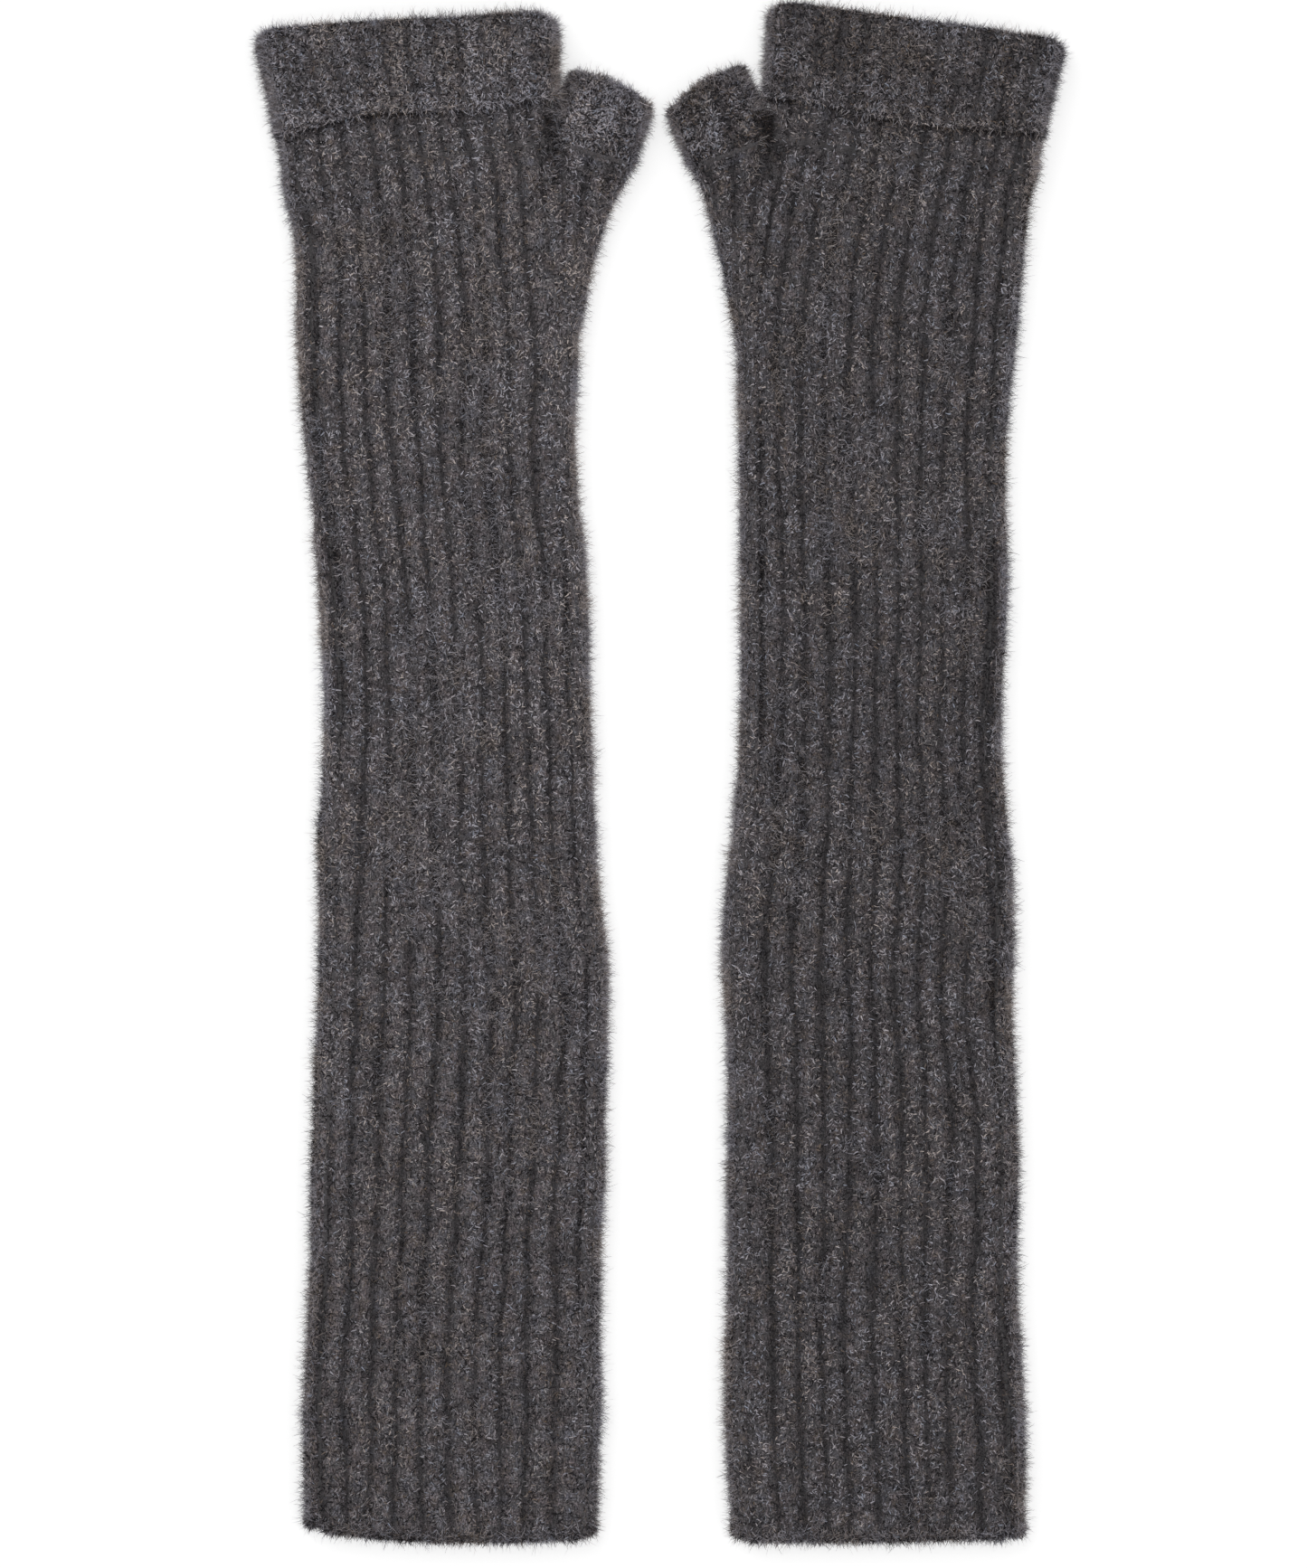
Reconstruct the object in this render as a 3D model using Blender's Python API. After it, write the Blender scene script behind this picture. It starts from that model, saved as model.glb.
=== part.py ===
"""A pair of long fingerless gloves in thick rib-knit wool, laid flat with the fingers towards +Y.

Each glove is a flattened knitted tube with a thumb gusset, closed by one seam down the little-finger
side. The knuckle end is turned back into a cuff, and a short thumb tube is joined on at the gusset.
Units are metres and +Z is up. The table is at Z = 0, and the origin is under the middle of the pair.
"""
import math

import bmesh
import bpy
from mathutils import Vector

MM = 0.001

# Lengths along a glove, from the arm opening towards the fingers
SLEEVE_LENGTH = 443 * MM
HAND_ABOVE_SLEEVE = 21 * MM
CUFF_HEIGHT = 32 * MM
THUMB_LENGTH = 22.5 * MM
ARM_EDGE_LENGTH = 3.0 * MM
CUFF_EDGE_LENGTH = 2.6 * MM
THUMB_EDGE_LENGTH = 2.4 * MM

# Flat widths of the tube, and how much narrower it is knitted along the forearm, below the wrist and
# across the hand
ARM_OPENING_WIDTH = 95.5 * MM
FOREARM_TAPER = 2.0 * MM
WRIST_WIDTH = 90.5 * MM
NARROW_TAPER = 4.0 * MM
HAND_TAPER = 3.0 * MM
CUFF_FLARE = 2.2 * MM
THUMB_BASE_WIDTH = 25.0 * MM
THUMB_TIP_WIDTH = 28.0 * MM
EDGE_SPREAD = 0.4 * MM

# Thickness of the fabric, and the room left between its two layers
WALL = 2.5 * MM
ARM_ROOM = 6.0 * MM
GUSSET_ROOM = 5.6 * MM

# Ribs: broad ridges with a narrow furrow between them
SLEEVE_RIBS = 9
THUMB_RIBS = 2
RIB_DEPTH = 0.9 * MM
RIDGE_SHARE = 0.66

# Seams and the gaps between pieces
SEAM_RADIUS = 1.0 * MM
THUMB_SEAM_LENGTH = 1.0 * MM
THUMB_SEAM_INSET = 0.5 * MM
CLEARANCE = 0.3 * MM
CUFF_CLEARANCE = 0.4 * MM

# Shares of the cuff's lift that the tube has gained at the sleeve's end and at the thumb's base
SLEEVE_END_LIFT = 0.6
THUMB_BASE_LIFT = 0.35

# The gusset's first and middle rings: how far across the wrist and down the sleeve each lies, and its
# half width, as shares of the wrist's width, the sleeve's length and the thumb's base
GUSSET_START = (0.333, 0.11, 0.53)
GUSSET_MIDDLE = (0.43, 0.04, 0.64)

# The thumb leaves the hand below the cuff, outside the edge of the hand
THUMB_BELOW_CUFF = 14.0 * MM
THUMB_OUTSIDE_HAND = 0.4 * MM

FOREARM_WIDTH = ARM_OPENING_WIDTH - FOREARM_TAPER
NARROW_WIDTH = WRIST_WIDTH - NARROW_TAPER
HAND_WIDTH = WRIST_WIDTH - HAND_TAPER

# Where the sleeve's width changes, as shares of its length, with the width there
SLEEVE_WIDTHS = (
    (0.00, ARM_OPENING_WIDTH),
    (0.14, ARM_OPENING_WIDTH),
    (0.34, FOREARM_WIDTH),
    (0.42, FOREARM_WIDTH),
    (0.50, WRIST_WIDTH),
    (0.58, NARROW_WIDTH),
    (0.70, NARROW_WIDTH),
    (0.82, NARROW_WIDTH),
    (0.88, WRIST_WIDTH),
)

# How many of the widths above belong to the tube of the forearm, before the wrist begins
FOREARM_STEPS = 6

# Share of the sleeve's length above which it bends towards the lean of the hand
BEND_START = 0.7

# How each glove lies: its side, how far its middle line strays towards the thumb at each width above
# and at the sleeve's end, as shares of the arm opening's width, the lean of its hand and the splay of
# its thumb. The thumb tips of the pair lie side by side with a gap between them
THUMB_TIP_GAP = 1.8 * MM
GLOVES = {
    "left": {
        "thumb_towards": 1,
        "sway": (0.0, 0.0105, 0.0335, 0.0440, 0.0230, 0.0251, 0.0105, -0.0366, -0.0419, -0.0806),
        "hand_lean": math.radians(7.2),
        "thumb_splay": math.radians(23.5),
    },
    "right": {
        "thumb_towards": -1,
        "sway": (0.0, 0.0199, 0.0230, 0.0377, 0.0293, 0.0293, 0.0178, 0.0199, 0.0105, -0.0461),
        "hand_lean": math.radians(8.7),
        "thumb_splay": math.radians(29.0),
    },
}

WOOL_COLOUR = (0.060, 0.056, 0.058, 1.0)
YARN_COLOUR = (0.048, 0.045, 0.047, 1.0)
WOOL_ROUGHNESS = 0.95

ARC_STEPS = 6
SEAM_SIDES = 8
LIP_STEPS = 4
SMOOTH_ANGLE = math.radians(25.0)

TUBE_THICKNESS = ARM_ROOM + 2 * WALL
GUSSET_THICKNESS = GUSSET_ROOM + 2 * WALL
HAND_LIFT = WALL + CUFF_CLEARANCE
HAND_LENGTH = HAND_ABOVE_SLEEVE + CUFF_HEIGHT
GUSSET_DROP = (TUBE_THICKNESS - GUSSET_THICKNESS) / 2
THUMB_LIFT = GUSSET_DROP + HAND_LIFT * THUMB_BASE_LIFT


def wool(name, colour):
    """A rough, plain wool material of the given colour."""
    material = bpy.data.materials.new(name)
    material.use_nodes = True
    shader = material.node_tree.nodes["Principled BSDF"]
    shader.inputs["Base Color"].default_value = colour
    shader.inputs["Roughness"].default_value = WOOL_ROUGHNESS
    shader.inputs["Metallic"].default_value = 0.0
    return material


def ridge_row(ribs):
    """Places along one flat layer, from -1 to 1, each with its depth: 0 on a ridge, 1 in a furrow."""
    places = []
    for rib in range(ribs):
        middle = (2 * rib + 1) / ribs - 1
        half_ridge = RIDGE_SHARE / ribs
        places.append((middle - half_ridge, 0))
        places.append((middle + half_ridge, 0))
        if rib < ribs - 1:
            places.append((middle + 1 / ribs, 1))
    return places


def tube_ring(centre, turn, half_width, base, thickness, ribs, depth=0.0):
    """One closed ring of a flattened tube: two flat layers joined by round edges.

    centre is the ring's middle in plan, and turn the angle of its width from +X.
    """
    across = Vector((math.cos(turn), math.sin(turn), 0))
    middle = Vector((centre[0], centre[1], base + thickness / 2))
    radius = thickness / 2
    flat = half_width - radius
    row = ridge_row(ribs)
    points = []
    for place, furrow in row:
        points.append((place * flat, radius - depth * furrow))
    for step in range(1, ARC_STEPS):
        angle = math.pi * (0.5 - step / ARC_STEPS)
        points.append((flat + radius * math.cos(angle), radius * math.sin(angle)))
    for place, furrow in reversed(row):
        points.append((place * flat, depth * furrow - radius))
    for step in range(1, ARC_STEPS):
        angle = math.pi * (-0.5 - step / ARC_STEPS)
        points.append((-flat + radius * math.cos(angle), radius * math.sin(angle)))
    return [middle + across * x + Vector((0, 0, z)) for x, z in points]


def bridge(mesh, first, second):
    """Join two rings of vertices with quads."""
    for index in range(len(first)):
        following = (index + 1) % len(first)
        mesh.faces.new((first[index], first[following], second[following], second[index]))


def shell(rings):
    """A closed body whose rings follow one another in a loop, such as a tube's outside and inside."""
    mesh = bmesh.new()
    loops = [[mesh.verts.new(point) for point in ring] for ring in rings]
    for index, loop in enumerate(loops):
        bridge(mesh, loop, loops[(index + 1) % len(loops)])
    return mesh


def loft(rings):
    """A solid through the rings, closed at both ends."""
    mesh = bmesh.new()
    loops = [[mesh.verts.new(point) for point in ring] for ring in rings]
    for first, second in zip(loops, loops[1:]):
        bridge(mesh, first, second)
    mesh.faces.new(loops[0])
    mesh.faces.new(loops[-1])
    return mesh


def add_object(name, mesh, parent, material=None, origin=Vector()):
    """Turn a bmesh in the glove's frame into a named object whose origin is at the given point."""
    bmesh.ops.translate(mesh, verts=mesh.verts, vec=-origin)
    if parent["thumb_towards"] < 0:
        bmesh.ops.scale(mesh, verts=mesh.verts, vec=(-1, 1, 1))
        origin = Vector((-origin.x, origin.y, origin.z))
    bmesh.ops.recalc_face_normals(mesh, faces=mesh.faces)
    data = bpy.data.meshes.new(name)
    mesh.to_mesh(data)
    mesh.free()
    data.shade_smooth()
    data.set_sharp_from_angle(angle=SMOOTH_ANGLE)
    thing = bpy.data.objects.new(name, data)
    bpy.context.scene.collection.objects.link(thing)
    thing.parent = parent
    thing.location = origin
    if material:
        data.materials.append(material)
    else:
        thing.hide_render = True
        thing.display_type = "WIRE"
    return thing


def combine(thing, operation, tool):
    """Add or cut away another object."""
    modifier = thing.modifiers.new(operation.lower(), "BOOLEAN")
    modifier.operation = operation
    modifier.solver = "EXACT"
    modifier.object = tool


class Lay:
    """Where one glove's tube lies: its middle line, and the frames of its hand and thumb."""

    def __init__(self, facts):
        self.lean = facts["hand_lean"]
        self.splay = facts["thumb_splay"]
        self.sway = [share * ARM_OPENING_WIDTH for share in facts["sway"]]
        self.hand_start = Vector((self.sway[-1], SLEEVE_LENGTH, 0))
        self.hand_across = Vector((math.cos(self.lean), math.sin(self.lean), 0))
        self.hand_along = Vector((-math.sin(self.lean), math.cos(self.lean), 0))
        self.thumb_turn = self.lean - self.splay
        self.thumb_across = Vector((math.cos(self.thumb_turn), math.sin(self.thumb_turn), 0))
        self.thumb_along = Vector((-math.sin(self.thumb_turn), math.cos(self.thumb_turn), 0))
        inner_corner = self.in_hand(HAND_WIDTH / 2 + THUMB_OUTSIDE_HAND, HAND_ABOVE_SLEEVE - THUMB_BELOW_CUFF)
        self.thumb_base = inner_corner + self.thumb_across * (THUMB_BASE_WIDTH / 2)

    def in_hand(self, across, along):
        """A point in plan, measured from the middle of the sleeve's end, in the hand's own directions."""
        return self.hand_start + self.hand_across * across + self.hand_along * along

    def sleeve_stations(self, start):
        """Middle, turn, half width and lift of the tube at each place along it, beginning at start."""
        stations = []
        for (share, width), sway in zip(SLEEVE_WIDTHS, self.sway):
            along = max(share * SLEEVE_LENGTH, start)
            bend = self.lean * max(0.0, share - BEND_START)
            stations.append((Vector((sway, along, 0)), bend, width / 2, 0.0))
        stations.append((self.hand_start, self.lean, HAND_WIDTH / 2, HAND_LIFT * SLEEVE_END_LIFT))
        return stations

    def hand_station(self, along):
        """The same for the straight hand inside the cuff."""
        return (self.in_hand(0, along), self.lean, HAND_WIDTH / 2, HAND_LIFT)


def station_ring(station, shrink=0.0, depth=0.0):
    """The tube's ring at a station, taken in all round by shrink."""
    middle, turn, half_width, lift = station
    thickness = TUBE_THICKNESS - 2 * shrink
    return tube_ring(middle, turn, half_width - shrink, lift + shrink, thickness, SLEEVE_RIBS, depth)


def gusset_rings(lay, shrink, past_end):
    """The gusset widens from inside the wrist to the thumb's base."""
    half_turn = lay.lean - lay.splay / 2
    thickness = GUSSET_THICKNESS - 2 * shrink
    middle_lift = (GUSSET_DROP + THUMB_LIFT) / 2
    plan = []
    for place, turn, base in ((GUSSET_START, lay.lean, GUSSET_DROP), (GUSSET_MIDDLE, half_turn, middle_lift)):
        across, down, half_width = place
        centre = lay.in_hand(WRIST_WIDTH * across, -SLEEVE_LENGTH * down)
        plan.append((centre, turn, THUMB_BASE_WIDTH * half_width, base))
    end = lay.thumb_base + lay.thumb_along * past_end
    plan.append((end, lay.thumb_turn, THUMB_BASE_WIDTH / 2, THUMB_LIFT))
    rings = []
    for centre, turn, half_width, base in plan:
        rings.append(tube_ring(centre, turn, half_width - shrink, base + shrink, thickness, THUMB_RIBS))
    return rings


def thumb_ring(lay, along, shrink=0.0, spread=0.0, depth=0.0):
    """The thumb tube's ring at a distance from its base. It settles onto the table towards its tip."""
    share = along / THUMB_LENGTH
    width = THUMB_BASE_WIDTH + (THUMB_TIP_WIDTH - THUMB_BASE_WIDTH) * share
    base = THUMB_LIFT * (1 - share)
    centre = lay.thumb_base + lay.thumb_along * along
    thickness = GUSSET_THICKNESS - 2 * shrink
    half_width = width / 2 - shrink + spread
    return tube_ring(centre, lay.thumb_turn, half_width, base + shrink, thickness, THUMB_RIBS, depth)


def cuff_ring(lay, along, outset, flare, depth=0.0):
    """A ring round the hand at a distance above the sleeve, set out from the hand's surface."""
    thickness = TUBE_THICKNESS + 2 * outset
    half_width = HAND_WIDTH / 2 + outset + flare
    base = HAND_LIFT - outset
    return tube_ring(lay.in_hand(0, along), lay.lean, half_width, base, thickness, SLEEVE_RIBS, depth)


def wrist_cut(lay, shift):
    """The station where the sleeve meets the hand, moved along the tube by shift."""
    middle, turn, half_width, lift = lay.sleeve_stations(0.0)[FOREARM_STEPS]
    return (middle + Vector((0, shift, 0)), turn, half_width, lift)


def make_sleeve(side, lay, parent):
    """The tube of the forearm, from the arm edge to the wrist."""
    start = ARM_EDGE_LENGTH + CLEARANCE
    stations = lay.sleeve_stations(start)[:FOREARM_STEPS] + [wrist_cut(lay, -CLEARANCE / 2)]
    rings = [station_ring(station, depth=RIB_DEPTH) for station in stations]
    rings += [station_ring(station, shrink=WALL) for station in reversed(stations)]
    add_object(f"{side}_sleeve", shell(rings), parent, wool(f"{side}_sleeve_wool", WOOL_COLOUR))


def make_hand(side, lay, parent):
    """The wrist and hand, with the gusset joined on, hollow from the sleeve to the fingers."""
    hand_end = HAND_LENGTH - WALL - CLEARANCE
    stations = [wrist_cut(lay, CLEARANCE / 2)] + lay.sleeve_stations(0.0)[FOREARM_STEPS + 1:]
    stations.append(lay.hand_station(HAND_ABOVE_SLEEVE - WALL))
    stations.append(lay.hand_station(hand_end))
    outer = [station_ring(station, depth=RIB_DEPTH) for station in stations]
    hand = add_object(f"{side}_hand", loft(outer), parent, wool(f"{side}_hand_wool", WOOL_COLOUR))

    gusset_end = -(THUMB_SEAM_LENGTH + 2 * CLEARANCE)
    gusset = add_object(f"{side}_gusset_form", loft(gusset_rings(lay, 0.0, gusset_end)), parent)
    combine(hand, "UNION", gusset)

    stations[0] = wrist_cut(lay, -WALL)
    stations[-1] = lay.hand_station(HAND_LENGTH + WALL)
    inner = [station_ring(station, shrink=WALL) for station in stations]
    hollow = add_object(f"{side}_hollow_form", loft(inner), parent)
    combine(hand, "DIFFERENCE", hollow)

    passage = add_object(f"{side}_passage_form", loft(gusset_rings(lay, WALL, 2 * WALL)), parent)
    combine(hand, "DIFFERENCE", passage)


def make_arm_edge(side, lay, parent):
    """The cast-on edge round the arm opening."""
    middle, turn, half_width, lift = lay.sleeve_stations(0.0)[0]
    rings = []
    for along, shrink in ((0.0, 0.0), (ARM_EDGE_LENGTH, 0.0), (ARM_EDGE_LENGTH, WALL), (0.0, WALL)):
        spread = 0.0 if shrink else EDGE_SPREAD
        place = Vector((middle.x, along, 0))
        rings.append(station_ring((place, turn, half_width + spread, lift), shrink))
    add_object(f"{side}_arm_edge", shell(rings), parent, wool(f"{side}_arm_edge_yarn", YARN_COLOUR))


def make_side_seam(side, lay, parent):
    """The linked seam, a round ridge inside the little-finger edge, from the arm opening to the fingers."""
    hand_end = HAND_LENGTH - WALL - CLEARANCE
    stations = lay.sleeve_stations(ARM_EDGE_LENGTH + CLEARANCE)
    stations += [lay.hand_station(HAND_ABOVE_SLEEVE - WALL), lay.hand_station(hand_end)]
    rings = []
    for middle, turn, half_width, lift in stations:
        across = Vector((math.cos(turn), math.sin(turn), 0))
        inset = half_width - WALL - SEAM_RADIUS - CLEARANCE
        centre = middle - across * inset + Vector((0, 0, lift + TUBE_THICKNESS / 2))
        ring = []
        for step in range(SEAM_SIDES):
            angle = 2 * math.pi * step / SEAM_SIDES
            ring.append(centre + SEAM_RADIUS * (across * math.cos(angle) + Vector((0, 0, math.sin(angle)))))
        rings.append(ring)
    add_object(f"{side}_side_seam", loft(rings), parent, wool(f"{side}_side_seam_yarn", YARN_COLOUR))


def make_cuff(side, lay, parent):
    """The turned-back knuckle end: an outer layer with a rolled fold over the end of the hand."""
    low = HAND_ABOVE_SLEEVE + CUFF_EDGE_LENGTH + CLEARANCE
    outset = CUFF_CLEARANCE + WALL
    fold = outset / 2 + WALL / 2
    rings = [cuff_ring(lay, low, CUFF_CLEARANCE, 0.0)]
    rings.append(cuff_ring(lay, HAND_LENGTH - WALL, CUFF_CLEARANCE, 0.0))
    rings.append(cuff_ring(lay, HAND_LENGTH - WALL, -WALL, 0.0))
    for step in range(LIP_STEPS + 1):
        angle = math.pi * step / LIP_STEPS
        rise = WALL * math.sin(angle)
        reach = -WALL + fold * (1 - math.cos(angle))
        flare = CUFF_FLARE * step / LIP_STEPS
        rings.append(cuff_ring(lay, HAND_LENGTH - WALL / 2 + rise, reach, flare))
    rings.append(cuff_ring(lay, HAND_LENGTH - 2 * WALL, outset, CUFF_FLARE, RIB_DEPTH))
    rings.append(cuff_ring(lay, low, outset, 0.0, RIB_DEPTH))
    add_object(f"{side}_cuff", shell(rings), parent, wool(f"{side}_cuff_wool", WOOL_COLOUR))


def make_cuff_edge(side, lay, parent):
    """The bound-off edge round the lower end of the turned-back cuff."""
    low = HAND_ABOVE_SLEEVE
    high = low + CUFF_EDGE_LENGTH
    outset = CUFF_CLEARANCE + WALL
    rings = [
        cuff_ring(lay, low, CUFF_CLEARANCE, 0.0),
        cuff_ring(lay, high, CUFF_CLEARANCE, 0.0),
        cuff_ring(lay, high, outset, EDGE_SPREAD),
        cuff_ring(lay, low, outset, EDGE_SPREAD),
    ]
    add_object(f"{side}_cuff_edge", shell(rings), parent, wool(f"{side}_cuff_edge_yarn", YARN_COLOUR))


def make_thumb(side, lay, parent):
    """The thumb tube and its bound-off edge, which turn together about the top of the thumb's base."""
    hinge = thumb_hinge(lay)
    tube_end = THUMB_LENGTH - THUMB_EDGE_LENGTH - CLEARANCE
    rings = [
        thumb_ring(lay, 0.0, depth=RIB_DEPTH),
        thumb_ring(lay, tube_end / 2, depth=RIB_DEPTH),
        thumb_ring(lay, tube_end, depth=RIB_DEPTH),
        thumb_ring(lay, tube_end, shrink=WALL),
        thumb_ring(lay, tube_end / 2, shrink=WALL),
        thumb_ring(lay, 0.0, shrink=WALL),
    ]
    material = wool(f"{side}_thumb_wool", WOOL_COLOUR)
    add_object(f"{side}_thumb", shell(rings), parent, material, hinge)

    edge_start = THUMB_LENGTH - THUMB_EDGE_LENGTH
    rings = [
        thumb_ring(lay, edge_start, spread=EDGE_SPREAD),
        thumb_ring(lay, THUMB_LENGTH, spread=EDGE_SPREAD),
        thumb_ring(lay, THUMB_LENGTH, shrink=WALL),
        thumb_ring(lay, edge_start, shrink=WALL),
    ]
    material = wool(f"{side}_thumb_edge_yarn", YARN_COLOUR)
    add_object(f"{side}_thumb_edge", shell(rings), parent, material, hinge)


def thumb_hinge(lay):
    """The middle of the line about which the thumb folds up: the top of its base."""
    top = max(point.z for point in thumb_ring(lay, 0.0))
    return lay.thumb_base + Vector((0, 0, top))


def thumb_reach(lay):
    """How far the thumb's edge reaches from the middle of the arm opening, towards the other glove."""
    edge = thumb_ring(lay, THUMB_LENGTH - THUMB_EDGE_LENGTH, spread=EDGE_SPREAD)
    edge += thumb_ring(lay, THUMB_LENGTH, spread=EDGE_SPREAD)
    return max(point.x for point in edge)


def make_thumb_seam(side, lay, parent):
    """The ring of linked stitches between the gusset and the thumb."""
    high = -CLEARANCE
    low = high - THUMB_SEAM_LENGTH
    outside = thumb_ring(lay, 0.0, spread=-THUMB_SEAM_INSET)
    inside = thumb_ring(lay, 0.0, shrink=WALL)
    rings = []
    for ring, shift in ((outside, low), (outside, high), (inside, high), (inside, low)):
        rings.append([point + lay.thumb_along * shift for point in ring])
    add_object(f"{side}_thumb_seam", shell(rings), parent, wool(f"{side}_thumb_seam_yarn", YARN_COLOUR))


def make_glove(side, facts, pair):
    """All the pieces of one glove, under an empty at the middle of its arm opening."""
    glove = bpy.data.objects.new(f"{side}_glove", None)
    bpy.context.scene.collection.objects.link(glove)
    glove.parent = pair
    glove["thumb_towards"] = facts["thumb_towards"]
    lay = Lay(facts)
    glove.location.x = -facts["thumb_towards"] * (thumb_reach(lay) + THUMB_TIP_GAP / 2)
    make_sleeve(side, lay, glove)
    make_hand(side, lay, glove)
    make_arm_edge(side, lay, glove)
    make_side_seam(side, lay, glove)
    make_cuff(side, lay, glove)
    make_cuff_edge(side, lay, glove)
    make_thumb(side, lay, glove)
    make_thumb_seam(side, lay, glove)


def centre_pair(pair):
    """Bring the middle of the pair's outline over the origin."""
    bpy.context.view_layer.update()
    corners = []
    for thing in bpy.context.scene.objects:
        if thing.type == "MESH" and not thing.hide_render:
            corners += [thing.matrix_world @ vertex.co for vertex in thing.data.vertices]
    for axis in range(2):
        values = [corner[axis] for corner in corners]
        pair.location[axis] = -(min(values) + max(values)) / 2


def main():
    for thing in list(bpy.data.objects):
        bpy.data.objects.remove(thing)
    pair = bpy.data.objects.new("pair", None)
    bpy.context.scene.collection.objects.link(pair)
    for side, facts in GLOVES.items():
        make_glove(side, facts, pair)
    centre_pair(pair)


main()
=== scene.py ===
"""A pair of long fingerless gloves in brushed rib-knit wool, laid flat and seen from straight above."""
import math

import bpy
import numpy as np
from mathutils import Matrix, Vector


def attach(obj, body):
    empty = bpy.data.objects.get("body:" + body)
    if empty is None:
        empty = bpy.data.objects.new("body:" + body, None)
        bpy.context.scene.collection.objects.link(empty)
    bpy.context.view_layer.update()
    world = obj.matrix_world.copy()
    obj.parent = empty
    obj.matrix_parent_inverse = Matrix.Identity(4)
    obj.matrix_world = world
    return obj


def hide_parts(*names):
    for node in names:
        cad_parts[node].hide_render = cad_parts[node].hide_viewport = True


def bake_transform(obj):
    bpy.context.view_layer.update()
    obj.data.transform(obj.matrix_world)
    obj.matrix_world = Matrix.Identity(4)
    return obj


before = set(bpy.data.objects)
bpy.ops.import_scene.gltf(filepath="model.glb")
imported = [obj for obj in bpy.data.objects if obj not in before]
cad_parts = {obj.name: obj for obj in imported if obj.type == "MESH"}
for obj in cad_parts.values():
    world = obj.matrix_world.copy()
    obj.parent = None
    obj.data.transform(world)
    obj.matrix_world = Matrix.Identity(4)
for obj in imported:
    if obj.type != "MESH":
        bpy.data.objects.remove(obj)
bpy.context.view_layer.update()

MM = 0.001
TINY = 1e-12
SMALL = 1e-9

# Sizes of a glove, along its middle line from the arm opening
ARM_Y = -251.72 * MM
SLEEVE_LENGTH = 443 * MM
HAND_LENGTH = 53 * MM
GLOVE_LENGTH = SLEEVE_LENGTH + HAND_LENGTH
THUMB_AT = 7 * MM
CROTCH_AT = SLEEVE_LENGTH + THUMB_AT
HAND_HALF = 43.75 * MM
RADIUS = 5.5 * MM
FABRIC = 2.3 * MM
HAND_LIFT = 2.9 * MM
HAND_LEVEL_AT = 18 * MM

# The thumb tube
THUMB_LENGTH = 22.5 * MM
THUMB_RADIUS = 5.3 * MM
THUMB_BASE_WIDTH = 26 * MM
THUMB_TIP_WIDTH = 30.5 * MM
THUMB_OUTSIDE = -0.6 * MM
THUMB_LIFT = 1.2 * MM
THUMB_SETTLE = 7 * MM
THUMB_BEND = 9 * MM
THUMB_CORNER = 7 * MM
THUMB_CORNER_DEPTH = 3.4 * MM
THUMB_TIP_BOW = 2.8 * MM
THUMB_INNER_BULGE = 3.0 * MM
THUMB_INNER_SLOPE = 1.6 * MM
INNER_BULGE_AT = 5 * MM

# The gusset, the crotch and the hand's outline beside them
GUSSET_GROWTH = 62 * MM
GUSSET_CURVE = 1.4
CROTCH_GROOVE = 17 * MM
CROTCH_DIP = 0.42
FLARE = 2.0 * MM
FLARE_FROM = 34 * MM
FLARE_OVER = 40 * MM
FLARE_END = 30 * MM
WAIST = 0.8 * MM
WAIST_HEIGHT = 17 * MM

# The turned-back cuff
CUFF_LOW = 21 * MM
CUFF_START = CUFF_LOW + 1.4 * MM
CUFF_OUTSET = 2.75
CUFF_FLARE = 2.0 * MM
CUFF_THUMB_CORNER = 3.2 * MM
CUFF_OUTER_CORNER = 2.2 * MM
HEM_AT = CUFF_LOW + 1.5 * MM
HEM_WAVE = 0.5 * MM

# The ribs and their furrows
RIBS = 10
RIB_PITCH = 8 * MM
RIB_DEPTH = 1.3 * MM
GUSSET_RIBS = 8
SIDE_RIBS = 2
FURROW_WIDTH = 0.14
RIB_FADE = 10 * MM
COLUMNS_A_PATCH = 45.0
THUMB_COLUMNS_A_PATCH = 25.0

# How dark the painted shade is in the creases, along the seams and under the cuff's hem, as multiples of a
# rib's furrow
HAND_CREASE_SHADE = 1.55
THUMB_CREASE_SHADE = 1.55
THUMB_ROOT_SHADE = 1.4
CROTCH_SHADE = 2.0
SEAM_SHADE = 0.5
HEM_SHADOW = 0.6
SEAM_SHADE_WIDTH = 3 * MM

# Cords of the edges and seams
ARM_EDGE_RADIUS = 1.35 * MM
HEM_RADIUS = 1.3 * MM
THUMB_EDGE_RADIUS = 1.25 * MM
THUMB_SEAM_RADIUS = 0.8 * MM
SIDE_SEAM_RADIUS = 0.95 * MM
SIDE_SEAM_INSET = 1.6 * MM
SIDE_SEAM_MARGIN = 4 * MM
CORD_SIDES = 8
STITCH_SWELL = 0.16
STITCH_POINTS = 4

# Half width of the sleeve, in mm, at shares of its length
WIDTH_AT = (0.0, 0.14, 0.34, 0.42, 0.50, 0.58, 0.70, 0.82, 0.88, 1.0)
HALF_WIDTH = (47.75, 47.75, 46.75, 46.75, 45.25, 43.25, 43.25, 43.25, 45.25, 43.75)
ARM_HALF = HALF_WIDTH[0] * MM
LEAN_FROM = 0.7
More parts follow.
